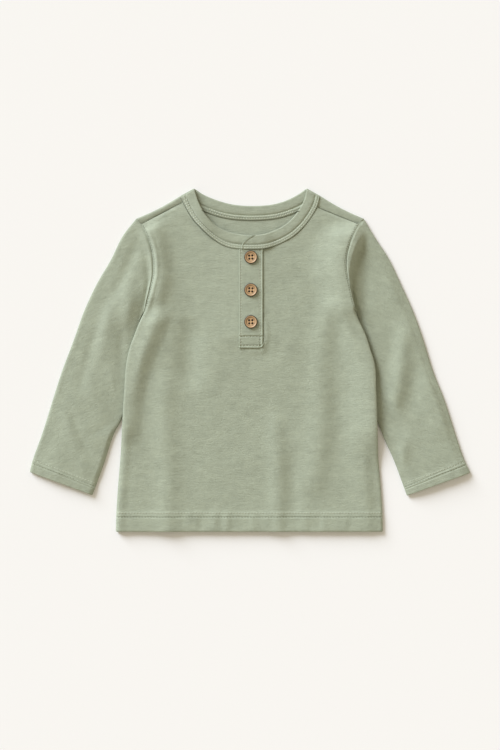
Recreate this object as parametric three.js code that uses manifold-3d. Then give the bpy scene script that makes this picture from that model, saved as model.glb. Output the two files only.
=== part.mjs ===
// A baby's henley shirt in cotton jersey, laid flat, face up.
// Millimetres. X runs across the shirt, to the wearer's left; Y runs from the hem to the neck; Z is up from
// the surface that it lies on. "right" and "left" are the wearer's own.
import * as THREE from "three";
import { mergeVertices } from "three/addons/utils/BufferGeometryUtils.js";
import Module from "manifold-3d";

const { lerp, smoothstep } = THREE.MathUtils;

// Cloth
const CLOTH = 1.0; // one layer of jersey
const HEM_CLOTH = 1.6; // the jersey turned up on itself
const BAND_CLOTH = 1.6; // the folded neckband
const STRIP_CLOTH = 1.2; // a pressed placket strip
const SEAM_GAP = 0.3; // between pieces, at a seam and where one lies on another
const ARMHOLE_GAP = 0.28; // each side of the armhole seam, along X
const NECK_GAP = 0.42; // at the curved neck seam, between the points of its two edges

// Lie of the cloth
const FLAT_HEIGHT = 3.0; // the front's face over the surface, where nothing lifts it
const HEM_RISE = 0.9; // how much thicker the shirt lies at its hems
const FOLD_REACH = 2.0; // how far in from a folded edge the cloth rounds over
const BODY_LOFT = 0.9; // how far the front stands off the back inside the seams
const SLEEVE_LOFT = 1.6; // the same on a sleeve
const TUCK_LIFT = 3.7; // how far the body rises over the sleeve tucked under its side
const TUCK_ENDS = { top: 37, foot: -68, fade: 18 }; // Y between which it is fully risen, and how it fades below
const TUCK_REACH = { full: 11, none: 27 }; // distances in from the side
const EDGE_SLOPE = 16; // how far in from an edge the loft and the folds are at full height
const SLEEVE_TUCK = { flat: 12, full: 30 }; // the same from a sleeve's inner edge, flat where it is tucked
const SEAM_SLOPE = 22; // how far down a sleeve from the armhole its loft is full
const HEM_STEP = 1.5; // half the length over which a hem thickens
const SHOULDER_BOW = 1.2; // how far the shoulder's fold dips between the neck and the armhole

// Lengths along the shirt
const HEM_Y = -171.5;
const HEM_DEPTH = 17;
const CUFF_DEPTH = 13;
const UNDERARM_Y = 49;
const SEAM_TOP_Y = 135.9; // where the shoulder seam meets the armhole
const SHOULDER_Y = 141.3; // where the shoulder's fold meets the armhole
const SHOULDER_X = 113.5;

// Placket and buttons
const PLACKET = { right: -10.5, left: 12.8, foot: 12.2, top: 110.4, corner: 3.2 };
const UNDER_FOOT_Y = 15;
const STRIP_SINK = 0.4; // the lower strip's face under the front's face
const STRIP_END_RISE = 0.5; // how far the upper strip climbs to the neckband's lapped end
const STRIP_CLIMB = 6; // over this length
const BAND_RISE = 0.6; // the neckband's face over the front's face
const LAP_RISE = BAND_CLOTH + SEAM_GAP; // the upper lapped end over the lower one
const LAP_START_X = 27;
const LAP_FULL_X = 14;
const BUTTON = { radius: 6.4, height: 2.6, dish: 0.5, rim: 1.5, hole: 0.85, spacing: 1.45, x: 0.8 };
const BUTTON_ROWS = [
  { name: "button_top", y: 102.5 },
  { name: "button_middle", y: 69.8 },
  { name: "button_bottom", y: 38.0 },
];

// Half widths of the body: side seams up to the underarm, armhole seams above it
const BODY_SECTIONS = [
  { y: -171.5, right: 134.1, left: 132.6 },
  { y: -150, right: 133.4, left: 132.1 },
  { y: -127, right: 131.9, left: 130.6 },
  { y: -95, right: 129.3, left: 128.0 },
  { y: -61, right: 127.3, left: 126.8 },
  { y: -31, right: 125.4, left: 125.8 },
  { y: -5, right: 123.5, left: 124.4 },
  { y: 12, right: 120.0, left: 119.4 },
  { y: 24, right: 115.6, left: 115.5 },
  { y: 38, right: 110.2, left: 109.2 },
  { y: 49, right: 105.3, left: 105.4 },
  { y: 60, right: 103.0, left: 102.1 },
  { y: 72, right: 99.9, left: 99.6 },
  { y: 84, right: 97.2, left: 96.8 },
  { y: 95, right: 96.8, left: 95.6 },
  { y: 106, right: 97.8, left: 96.4 },
  { y: 117, right: 100.4, left: 99.3 },
  { y: 127, right: 104.3, left: 103.4 },
  { y: 135.9, right: 109.1, left: 108.2 },
  { y: 141.3, right: 113.5, left: 113.5 },
];

// Folded edges of the sleeves, from the armhole to the cuff: x from the middle, y
const SLEEVE_OUTER = [
  { right: [113.5, 141.3], left: [113.5, 141.3] },
  { right: [127, 124], left: [125, 122] },
  { right: [139, 100], left: [138, 102] },
  { right: [153, 76], left: [149.5, 78] },
  { right: [166, 48], left: [163, 48] },
  { right: [176, 20], left: [173, 20] },
  { right: [188, -12], left: [183, -12] },
  { right: [197, -40], left: [194, -40] },
  { right: [207, -72], left: [205, -74] },
  { right: [217, -100], left: [214, -100] },
  { right: [220, -112], left: [220, -112.7] },
];
const SLEEVE_INNER = [
  { right: [105.3, 49], left: [105.4, 49] },
  { right: [110.3, 38], left: [109.6, 38] },
  { right: [112.6, 22], left: [112.4, 22] },
  { right: [114.6, 2], left: [114.8, 2] },
  { right: [117, -25], left: [117.4, -27] },
  { right: [121.5, -45], left: [121.4, -48] },
  { right: [128.6, -60], left: [127.8, -63] },
  { right: [136, -74], left: [135, -81] },
  { right: [146, -104], left: [144, -101] },
  { right: [157.3, -135], left: [156.7, -135.6] },
];

// The neckband's sewn edge and its free edge round the front, and round the back of the neck
const NECK_FRONT = [
  { sewn: [-69.5, 164.0], free: [-55.8, 171.5] },
  { sewn: [-66.6, 157.0], free: [-51.6, 158.4] },
  { sewn: [-57.4, 141.0], free: [-45.0, 146.0] },
  { sewn: [-47.0, 129.7], free: [-36.6, 136.4] },
  { sewn: [-35.6, 119.8], free: [-27.4, 130.4] },
  { sewn: [-24.1, 113.2], free: [-17.6, 127.0] },
  { sewn: [-11.6, 110.8], free: [-8.0, 125.3] },
  { sewn: [2.2, 110.4], free: [4.0, 124.6] },
  { sewn: [16.5, 111.4], free: [14.6, 125.9] },
  { sewn: [32.0, 116.9], free: [24.4, 129.3] },
  { sewn: [45.3, 124.9], free: [35.6, 135.6] },
  { sewn: [58.7, 139.1], free: [46.4, 146.6] },
  { sewn: [67.3, 153.5], free: [54.0, 160.4] },
  { sewn: [70.1, 164.0], free: [56.6, 171.5] },
];
const NECK_BACK = [
  { sewn: [-69.5, 164.0], free: [-55.8, 171.5] },
  { sewn: [-58.6, 154.6], free: [-46.6, 165.4] },
  { sewn: [-46.0, 148.5], free: [-34.0, 160.0] },
  { sewn: [-26.0, 142.0], free: [-18.0, 155.6] },
  { sewn: [0.5, 139.5], free: [1.0, 154.0] },
  { sewn: [28.0, 141.7], free: [22.0, 155.4] },
  { sewn: [47.0, 148.0], free: [36.0, 159.4] },
  { sewn: [60.0, 155.4], free: [48.0, 165.4] },
  { sewn: [70.1, 164.0], free: [56.6, 171.5] },
];

// The largest folds: a soft ridge (rise above 0) or trough along a line, in the body or a sleeve
const BODY_FOLDS = [
  { from: [-93, 128], to: [-90, 84], width: 9, rise: 1.8 },
  { from: [-90, 84], to: [-84, 46], width: 10, rise: 1.2 },
  { from: [-80, 18], to: [-77, -52], width: 9, rise: -0.9 },
  { from: [-91, -10], to: [-89, -70], width: 10, rise: 1.5 },
  { from: [-76, -88], to: [-72, -150], width: 9, rise: -0.7 },
  { from: [-91, -90], to: [-92, -140], width: 9, rise: 1.1 },
  { from: [-108, -5], to: [-112, -60], width: 8, rise: -0.8 },
  { from: [92, 132], to: [90, 78], width: 10, rise: 2.2 },
  { from: [90, 78], to: [74, 34], width: 11, rise: 1.6 },
  { from: [76, 6], to: [80, -98], width: 8, rise: -0.8 },
  { from: [62, 22], to: [61, -34], width: 9, rise: 1.0 },
  { from: [34, -88], to: [37, -160], width: 8, rise: -0.6 },
  { from: [22, -88], to: [22, -160], width: 8, rise: 0.8 },
  { from: [104, 20], to: [108, -70], width: 9, rise: 0.9 },
];
const SLEEVE_FOLDS = {
  right: [
    { from: [-120, 116], to: [-132, 94], width: 8, rise: 1.2 },
    { from: [-127, 86], to: [-128, 60], width: 9, rise: 1.5 },
    { from: [-150, 34], to: [-150, 6], width: 10, rise: 1.4 },
    { from: [-134, 8], to: [-139, -46], width: 9, rise: -0.9 },
    { from: [-160, -30], to: [-176, -84], width: 11, rise: 1.0 },
  ],
  left: [
    { from: [104, 122], to: [107, 66], width: 7, rise: -0.8 },
    { from: [121, 112], to: [131, 70], width: 11, rise: 1.4 },
    { from: [149, 26], to: [150, -20], width: 9, rise: 1.5 },
    { from: [147, -24], to: [158, -52], width: 9, rise: -0.9 },
    { from: [166, -30], to: [184, -84], width: 11, rise: 1.1 },
  ],
};

const SIDES = [
  { name: "right", sign: -1 },
  { name: "left", sign: 1 },
];

// Shares of FOLD_REACH at which a folded edge has its columns
const EDGE_STEPS = [0, 0.12, 0.45, 1];

// Heights up the armhole where the panels and the sleeve share their points
const ARMHOLE_ROWS = [64, 77, 90, 103, 116, 127, SEAM_TOP_Y];

// Curves and tables

function planCurve(points) {
  const route = points.map(([x, y]) => new THREE.Vector3(x, y, 0));
  return new THREE.CatmullRomCurve3(route, false, "centripetal");
}

// Reads a column of a table at y, with a smooth line through its rows.
function readSections(rows, column, y) {
  const last = rows.length - 1;
  const at = THREE.MathUtils.clamp(y, rows[0].y, rows[last].y);
  let k = 0;
  while (k < last - 1 && rows[k + 1].y < at) k += 1;
  const slope = (i) => {
    const low = rows[Math.max(i - 1, 0)];
    const high = rows[Math.min(i + 1, last)];
    return (high[column] - low[column]) / (high.y - low.y);
  };
  const span = rows[k + 1].y - rows[k].y;
  const t = (at - rows[k].y) / span;
  const blend = t * t * (3 - 2 * t);
  const bend = t * (1 - t) * span * (slope(k) * (1 - t) - slope(k + 1) * t);
  return lerp(rows[k][column], rows[k + 1][column], blend) + bend;
}

// The share of a curve's length at which it crosses x, on a curve whose x only grows.
function shareAtX(curve, x) {
  let low = 0;
  let high = 1;
  for (let step = 0; step < 30; step += 1) {
    const middle = (low + high) / 2;
    if (curve.getPointAt(middle).x < x) low = middle;
    else high = middle;
  }
  return (low + high) / 2;
}

// A point of a neck seam, moved into the panel by the seam's gap.
function panelNeckPoint(curve, share) {
  const point = curve.getPointAt(share);
  const along = curve.getTangentAt(share);
  return [point.x + along.y * NECK_GAP, point.y - along.x * NECK_GAP];
}

const mix = (a, b, t) => [lerp(a[0], b[0], t), lerp(a[1], b[1], t)];
const planLength = (a, b) => Math.hypot(b[0] - a[0], b[1] - a[1]);
const between = (from, to, count) =>
  Array.from({ length: count }, (_, k) => lerp(from, to, (k + 1) / count));

const neckFrontSewn = planCurve(NECK_FRONT.map((row) => row.sewn));
const neckFrontFree = planCurve(NECK_FRONT.map((row) => row.free));
const neckBackSewn = planCurve(NECK_BACK.map((row) => row.sewn));
const neckBackFree = planCurve(NECK_BACK.map((row) => row.free));

// Heights

// How far a folded edge has rounded up at a distance in from it, from 0 to 1.
function roundRise(distance) {
  return Math.sqrt(1 - (1 - Math.min(distance / FOLD_REACH, 1)) ** 2);
}

const FOLD_TAPER = 1.6; // a fold runs out over this many of its widths

function foldHeight(folds, x, y) {
  let height = 0;
  for (const { from, to, width, rise } of folds) {
    const length = planLength(from, to);
    const along = ((x - from[0]) * (to[0] - from[0]) + (y - from[1]) * (to[1] - from[1])) / length;
    const across = ((x - from[0]) * (to[1] - from[1]) - (y - from[1]) * (to[0] - from[0])) / length;
    const past = Math.max(-along, along - length, 0);
    height += rise * Math.exp(-((across / width) ** 2) - (past / (FOLD_TAPER * width)) ** 2);
  }
  return height;
}

const bodyEdge = (side, y) => readSections(BODY_SECTIONS, side, y);
const edgeDistance = (x, y) => Math.min(bodyEdge("right", y) + x, bodyEdge("left", y) - x);
const HEM_TOP_Y = HEM_Y + HEM_DEPTH;
const hemShare = (y) => 1 - smoothstep(y, HEM_TOP_Y - HEM_STEP, HEM_TOP_Y + HEM_STEP);
const flatHeight = (y) => FLAT_HEIGHT + HEM_RISE * hemShare(y);

// The side edge is folded shut below the underarm and open to the sleeve above it.
const sideClosed = (y) => 1 - smoothstep(y, UNDERARM_Y, UNDERARM_Y + FOLD_REACH + 1);

// The body rises over the part of the sleeve that is tucked under its side.
function tuckLift(distance, y) {
  const { top, foot, fade } = TUCK_ENDS;
  const along = (1 - smoothstep(y, top, UNDERARM_Y)) * smoothstep(y, foot - fade, foot);
  return TUCK_LIFT * along * (1 - smoothstep(distance, TUCK_REACH.full, TUCK_REACH.none));
}

// The face of the front, also read where the neckband and the placket lie.
function frontFace(x, y) {
  const distance = edgeDistance(x, y);
  const inside = smoothstep(distance, FOLD_REACH, EDGE_SLOPE);
  const relief = (BODY_LOFT + foldHeight(BODY_FOLDS, x, y)) * inside;
  return flatHeight(y) + relief + tuckLift(distance, y);
}

function frontEdgeHeight(x, y) {
  const distance = edgeDistance(x, y);
  const face = frontFace(x, y);
  const seam = flatHeight(y) / 2 + SEAM_GAP / 2 + tuckLift(distance, y);
  return lerp(face, lerp(seam, face, roundRise(distance)), sideClosed(y));
}

function backUnderside(x, y) {
  const distance = edgeDistance(x, y);
  const seam = flatHeight(y) / 2 - SEAM_GAP / 2;
  return seam * (1 - roundRise(distance)) * sideClosed(y) + tuckLift(distance, y);
}

// Walls of cloth

// Closes a grid of face points into a wall: the face, the same points moved in by the thickness, and a rim
// along every edge. facing is 1 where columns then rows turn anticlockwise seen from the face.
// level is true at a point whose wall runs level in from the edge, as at a side seam.
function clothWall(grid) {
  const { columns, rows, face, thickness, facing } = grid;
  const { present = () => true, level = () => false, loop = false } = grid;
  const across = loop ? columns : columns + 1;
  const id = (i, j) => (loop ? i % columns : i) + j * across;
  const points = [];
  for (let j = 0; j <= rows; j += 1) {
    for (let i = 0; i < across; i += 1) points.push(new THREE.Vector3(...face(i, j)));
  }
  const cells = [];
  for (let j = 0; j < rows; j += 1) {
    for (let i = 0; i < columns; i += 1) {
      if (present(i, j)) cells.push([id(i, j), id(i + 1, j), id(i + 1, j + 1), id(i, j + 1)]);
    }
  }
  const normals = points.map(() => new THREE.Vector3());
  const edges = new Map();
  for (const cell of cells) {
    const rising = points[cell[2]].clone().sub(points[cell[0]]);
    const falling = points[cell[3]].clone().sub(points[cell[1]]);
    const normal = rising.cross(falling).multiplyScalar(facing);
    cell.forEach((corner, k) => {
      normals[corner].add(normal);
      edges.set(`${corner},${cell[(k + 1) % 4]}`, [corner, cell[(k + 1) % 4]]);
    });
  }
  const inner = points.map((point, k) => {
    const place = [k % across, Math.floor(k / across)];
    if (level(...place)) normals[k].setZ(0);
    return point.clone().addScaledVector(normals[k].normalize(), -thickness(...place));
  });
  const count = points.length;
  const corners = [];
  const addQuad = (a, b, c, d) => {
    if (facing > 0) corners.push(a, b, c, a, c, d);
    else corners.push(a, c, b, a, d, c);
  };
  for (const [a, b, c, d] of cells) {
    addQuad(a, b, c, d);
    addQuad(d + count, c + count, b + count, a + count);
  }
  for (const [a, b] of edges.values()) {
    if (!edges.has(`${b},${a}`)) addQuad(b, a, a + count, b + count);
  }
  const geometry = new THREE.BufferGeometry().setFromPoints([...points, ...inner]);
  geometry.setIndex(corners);
  const used = mergeVertices(geometry.toNonIndexed(), 1e-4);
  used.computeVertexNormals();
  return used;
}

// Body panels

// Shares across a half panel: close steps at the folded edge, then even ones to the wing and to the middle.
function halfShares(width, wingShare, outerCells, innerCells) {
  const edge = EDGE_STEPS.map((step) => (step * FOLD_REACH) / width);
  const rest = between(edge[edge.length - 1], wingShare, outerCells);
  return [...edge, ...rest, ...between(wingShare, 1, innerCells)];
}

const WING_SHARE = 0.38;
const OUTER_CELLS = 4;
const INNER_CELLS = 9;
const HALF_CELLS = EDGE_STEPS.length - 1 + OUTER_CELLS + INNER_CELLS;
const WING_CELL = EDGE_STEPS.length - 1 + OUTER_CELLS;

// Rows of the panels: y at the side and y at the middle line
const ARMHOLE_MIDDLES = [61, 71, 80, 89, 97, 104, PLACKET.top];
const LOWER_ROWS = [HEM_Y, -164, -156.2, -152.8, -143, -130, -116, -102, -88, -74, -60, -45, -30, -15, -1];
const FRONT_ROWS = [
  ...LOWER_ROWS.map((y) => ({ side: y, middle: y })),
  { side: 12, middle: PLACKET.foot - SEAM_GAP },
  { side: 25, middle: 25 },
  { side: 38, middle: 37 },
  { side: UNDERARM_Y, middle: 48 },
  { side: UNDERARM_Y + FOLD_REACH, middle: 51 },
  ...ARMHOLE_ROWS.map((y, k) => ({ side: y, middle: ARMHOLE_MIDDLES[k] })),
];
const SLOT_ROW = LOWER_ROWS.length;

// A point of the armhole, moved along X to the panels' side or the sleeve's.
function armholePoint(side, y, shift) {
  const seam = bodyEdge(side.name, Math.min(y, SEAM_TOP_Y));
  const past = Math.max(y - SEAM_TOP_Y, 0) / (SHOULDER_Y - SEAM_TOP_Y);
  return [side.sign * (lerp(seam, SHOULDER_X, past) + shift), y];
}

const seamEnd = (side) => armholePoint(side, SEAM_TOP_Y, -ARMHOLE_GAP);
const foldEnd = (side) => armholePoint(side, SHOULDER_Y, -ARMHOLE_GAP);

// The wing is the corner where a shoulder seam meets the neck seam on the front.
const WING_SEAM_X = 67.0;
const wingShareOfNeck = (side) => shareAtX(neckFrontSewn, side.sign * WING_SEAM_X);
const frontWing = (side) => panelNeckPoint(neckFrontSewn, wingShareOfNeck(side));

const slotX = (side) => PLACKET[side.name] + side.sign * SEAM_GAP;

// The top edge of the front, from the armhole over the wing to the slot.
function frontTop(side, share) {
  if (share <= WING_SHARE) return mix(seamEnd(side), frontWing(side), share / WING_SHARE);
  const t = (share - WING_SHARE) / (1 - WING_SHARE);
  const neckShare = lerp(wingShareOfNeck(side), shareAtX(neckFrontSewn, slotX(side)), t);
  return panelNeckPoint(neckFrontSewn, neckShare);
}

const topShare = (y, top) => ((y - HEM_Y) / (top - HEM_Y)) ** 3;

function frontPlan(side, share, row) {
  const topMiddle = frontTop(side, 1);
  const middleY = row === FRONT_ROWS.length - 1 ? topMiddle[1] : FRONT_ROWS[row].middle;
  const sideY = FRONT_ROWS[row].side;
  const gap = sideY > UNDERARM_Y ? ARMHOLE_GAP : 0;
  const edge = [side.sign * (bodyEdge(side.name, sideY) - gap), sideY];
  const straight = mix(edge, [slotX(side), middleY], share);
  const top = frontTop(side, share);
  const ruled = mix(seamEnd(side), topMiddle, share);
  const weight = topShare(sideY, SEAM_TOP_Y);
  return [straight[0] + weight * (top[0] - ruled[0]), straight[1] + weight * (top[1] - ruled[1])];
}

function frontPanel() {
  const middleCells = 2;
  const columns = 2 * HALF_CELLS + middleCells;
  const rows = FRONT_ROWS.length - 1;
  const face = (i, j) => {
    const half = (side, step) => {
      const width = bodyEdge(side.name, FRONT_ROWS[j].side) - PLACKET.left;
      return frontPlan(side, halfShares(width, WING_SHARE, OUTER_CELLS, INNER_CELLS)[step], j);
    };
    let plan;
    if (i <= HALF_CELLS) plan = half(SIDES[0], i);
    else if (i >= HALF_CELLS + middleCells) plan = half(SIDES[1], columns - i);
    else plan = mix(half(SIDES[0], HALF_CELLS), half(SIDES[1], HALF_CELLS), (i - HALF_CELLS) / middleCells);
    return [...plan, frontEdgeHeight(...plan)];
  };
  return clothWall({
    columns,
    rows,
    face,
    facing: 1,
    thickness: (i, j) => lerp(CLOTH, HEM_CLOTH, hemShare(FRONT_ROWS[j].side)),
    level: (i, j) => (i === 0 || i === columns) && FRONT_ROWS[j].side <= UNDERARM_Y,
    present: (i, j) => i < HALF_CELLS || i >= HALF_CELLS + middleCells || j < SLOT_ROW,
  });
}

const BACK_SIDE_ROWS = [
  ...[HEM_Y, -156.2, -152.8, -138, -120, -102, -88, -74, -60, -45, -30, -15, -1, 12, 25, 38],
  ...[UNDERARM_Y, UNDERARM_Y + FOLD_REACH, ...ARMHOLE_ROWS],
];
const WRAP_TURNS = [0.25, 0.5, 0.75, 1]; // shares of the half turn round the shoulder's fold

// The shoulder's fold, and the shoulder seam that the back comes forward to.
function shoulderFold(side, share) {
  const sewn = neckFrontSewn.getPointAt(side.name === "right" ? 0 : 1);
  const wing = [sewn.x + side.sign * NECK_GAP, sewn.y - NECK_GAP / 2];
  const bow = SHOULDER_BOW * Math.sin(Math.PI * share);
  const point = mix(foldEnd(side), wing, share);
  return [point[0] - (side.sign * bow) / 2, point[1] - bow];
}

function shoulderSeam(side, share) {
  const end = seamEnd(side);
  const wing = frontWing(side);
  const point = mix(end, wing, share);
  const length = planLength(end, wing);
  const across = [-(wing[1] - end[1]) / length, (wing[0] - end[0]) / length];
  const ahead = SEAM_GAP * side.sign * -1;
  return [point[0] + across[0] * ahead, point[1] + across[1] * ahead];
}

// A point of the back where it turns over the shoulder: plan and height.
function shoulderWrap(side, share, turn) {
  const fold = shoulderFold(side, share);
  const seam = shoulderSeam(side, share);
  const inward = mix(fold, seam, FOLD_REACH / planLength(fold, seam));
  const angle = Math.PI * turn;
  const half = FLAT_HEIGHT / 2;
  return [...mix(inward, fold, Math.sin(angle)), half - half * Math.cos(angle)];
}

// The top edge of the back's flat part, from one armhole to the other.
function backTop(share) {
  const side = share < 0.5 ? SIDES[0] : SIDES[1];
  const own = Math.min(share, 1 - share);
  if (own <= BACK_WING_SHARE) return shoulderWrap(side, own / BACK_WING_SHARE, 0).slice(0, 2);
  const ends = SIDES.map((wingSide) => shareAtX(neckBackSewn, shoulderWrap(wingSide, 1, 0)[0]));
  const alongNeck = (share - BACK_WING_SHARE) / (1 - 2 * BACK_WING_SHARE);
  return panelNeckPoint(neckBackSewn, lerp(...ends, alongNeck));
}

const BACK_OUTER_CELLS = 4;
const BACK_WING_CELL = EDGE_STEPS.length - 1 + BACK_OUTER_CELLS;
const BACK_WING_SHARE = 0.2;
const BACK_NECK_CELLS = 10;

function backPanel() {
  const columns = 2 * BACK_WING_CELL + BACK_NECK_CELLS;
  const flatRows = BACK_SIDE_ROWS.length;
  const seamRow = flatRows + WRAP_TURNS.length + 1;
  const shareOf = (i, width) => {
    const own = Math.min(i, columns - i);
    if (own > BACK_WING_CELL) {
      return lerp(BACK_WING_SHARE, 1 - BACK_WING_SHARE, (i - BACK_WING_CELL) / BACK_NECK_CELLS);
    }
    const edge = EDGE_STEPS.map((step) => (step * FOLD_REACH) / width);
    const share = [...edge, ...between(edge[edge.length - 1], BACK_WING_SHARE, BACK_OUTER_CELLS)][own];
    return i === own ? share : 1 - share;
  };
  const sideOf = (i) => (i < columns / 2 ? SIDES[0] : SIDES[1]);
  const topY = backTop(0)[1];
  const face = (i, j) => {
    if (j >= flatRows) {
      const share = shareOf(i, 2 * SHOULDER_X);
      const own = Math.min(share, 1 - share) / BACK_WING_SHARE;
      if (own > 1.001 || j === flatRows) return [...backTop(share), 0];
      if (j === seamRow) return [...shoulderSeam(sideOf(i), own), FLAT_HEIGHT];
      return shoulderWrap(sideOf(i), own, WRAP_TURNS[j - flatRows - 1]);
    }
    const y = BACK_SIDE_ROWS[j];
    const gap = y > UNDERARM_Y ? ARMHOLE_GAP : 0;
    const from = [-(bodyEdge("right", y) - gap), y];
    const to = [bodyEdge("left", y) - gap, y];
    const share = shareOf(i, planLength(from, to));
    const top = backTop(share);
    const ruled = mix(backTop(0), backTop(1), share);
    const straight = mix(from, to, share);
    const weight = topShare(y, topY);
    const plan = [straight[0] + weight * (top[0] - ruled[0]), straight[1] + weight * (top[1] - ruled[1])];
    return [...plan, backUnderside(...plan)];
  };
  return clothWall({
    columns,
    rows: seamRow,
    face,
    facing: -1,
    thickness: (i, j) => (j < flatRows ? lerp(CLOTH, HEM_CLOTH, hemShare(BACK_SIDE_ROWS[j])) : CLOTH),
    level: (i, j) => (i === 0 || i === columns) && j < flatRows && BACK_SIDE_ROWS[j] <= UNDERARM_Y,
    present: (i, j) => j < flatRows || i < BACK_WING_CELL || i >= columns - BACK_WING_CELL,
  });
}

// Sleeves

const SLEEVE_ROW_SHARES = [
  0, 0.03, 0.08, 0.14, 0.2, 0.27, 0.34, 0.41, 0.49, 0.57, 0.65, 0.73, 0.81, 0.88, 0.935, 0.952, 1,
];

function sleeve(side) {
  const { name, sign } = side;
  const edgeCurve = (rows) => planCurve(rows.map((row) => [sign * (row[name][0] + ARMHOLE_GAP), row[name][1]]));
  const innerEdge = edgeCurve(SLEEVE_INNER);
  const outerEdge = edgeCurve(SLEEVE_OUTER);
  const at = (curve, share) => curve.getPointAt(share).toArray().slice(0, 2);
  const armholeEnds = [UNDERARM_Y, SHOULDER_Y].map((y) => armholePoint(side, y, ARMHOLE_GAP));
  const seam = armholePoint(side, SEAM_TOP_Y, ARMHOLE_GAP);
  const slant = (SHOULDER_Y - SEAM_TOP_Y) / planLength(armholeEnds[1], seam);
  const length = outerEdge.getLength();
  const cuffTop = length - CUFF_DEPTH;
  const cuffShare = (along) => smoothstep(along * length, cuffTop - HEM_STEP, cuffTop + HEM_STEP);

  // Stations round the sleeve: its face from the underarm to the shoulder, then its underside back again.
  const reach = EDGE_STEPS.map((step) => step * FOLD_REACH);
  const inner = reach.map((distance) => ({ edge: "inner", distance, y: UNDERARM_Y + distance }));
  const middle = ARMHOLE_ROWS.map((y) => ({ edge: "none", y }));
  const outer = reach.map((distance) => ({ edge: "outer", distance, y: SHOULDER_Y - distance * slant })).reverse();
  const stations = [...inner, ...middle, ...outer].map((station) => ({ ...station, top: true }));
  const under = [...inner.slice(1), ...middle, ...outer.slice(0, -1)].reverse();
  stations.push(...under.map((station) => ({ ...station, top: false })));

  const face = (i, j) => {
    const along = SLEEVE_ROW_SHARES[j];
    const { edge, distance, y, top } = stations[i];
    const ends = [at(innerEdge, along), at(outerEdge, along)];
    const width = planLength(...ends);
    const armholeShare = (y - UNDERARM_Y) / (SHOULDER_Y - UNDERARM_Y);
    let across = armholeShare;
    if (edge === "inner") across = distance / width;
    if (edge === "outer") across = 1 - distance / width;
    const straight = mix(...ends, along === 0 ? armholeShare : across);
    const start = armholePoint(side, y, ARMHOLE_GAP);
    const ruled = mix(...armholeEnds, armholeShare);
    const fade = (1 - along) ** 2;
    const point = [straight[0] + fade * (start[0] - ruled[0]), straight[1] + fade * (start[1] - ruled[1])];
    const fromInner = edge === "inner" ? distance : across * width;
    const fromOuter = edge === "outer" ? distance : (1 - across) * width;
    const base = FLAT_HEIGHT + HEM_RISE * cuffShare(along);
    const rise = roundRise(Math.min(fromInner, fromOuter));
    if (!top) return [...point, (base / 2) * (1 - rise)];
    const inside = smoothstep(fromInner, SLEEVE_TUCK.flat, SLEEVE_TUCK.full)
      * smoothstep(fromOuter, FOLD_REACH, EDGE_SLOPE);
    const fromSeam = smoothstep(along * length, 0, SEAM_SLOPE);
    const relief = (SLEEVE_LOFT + foldHeight(SLEEVE_FOLDS[name], ...point)) * inside * fromSeam;
    return [...point, base / 2 + (base / 2) * rise + relief];
  };
  return clothWall({
    columns: stations.length,
    rows: SLEEVE_ROW_SHARES.length - 1,
    loop: true,
    face,
    facing: -sign,
    thickness: (i, j) => lerp(CLOTH, HEM_CLOTH, cuffShare(SLEEVE_ROW_SHARES[j])),
  });
}

// Neckband

const BAND_TURN = 2.0; // half the height of the fold at each side of the neck
const BAND_SETTLE = { from: 44, to: 62 }; // X over which the band comes to the height of that fold
const BAND_WIDTH_CELLS = 3;
const BAND_FRONT_CELLS = 14;
const BAND_BACK_CELLS = 16;
const BAND_TURN_CELLS = 8;
const BAND_LOWER_END_X = 9.5;
const BAND_UPPER_END = { sewnX: -9.3, freeX: 4.6 };

function bandFrontFace(x, y, upper) {
  const face = frontFace(x, y) + BAND_RISE;
  const settled = lerp(face, 2 * BAND_TURN, smoothstep(Math.abs(x), BAND_SETTLE.from, BAND_SETTLE.to));
  return upper ? settled + LAP_RISE * (1 - smoothstep(x, LAP_FULL_X, LAP_START_X)) : settled;
}

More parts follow.
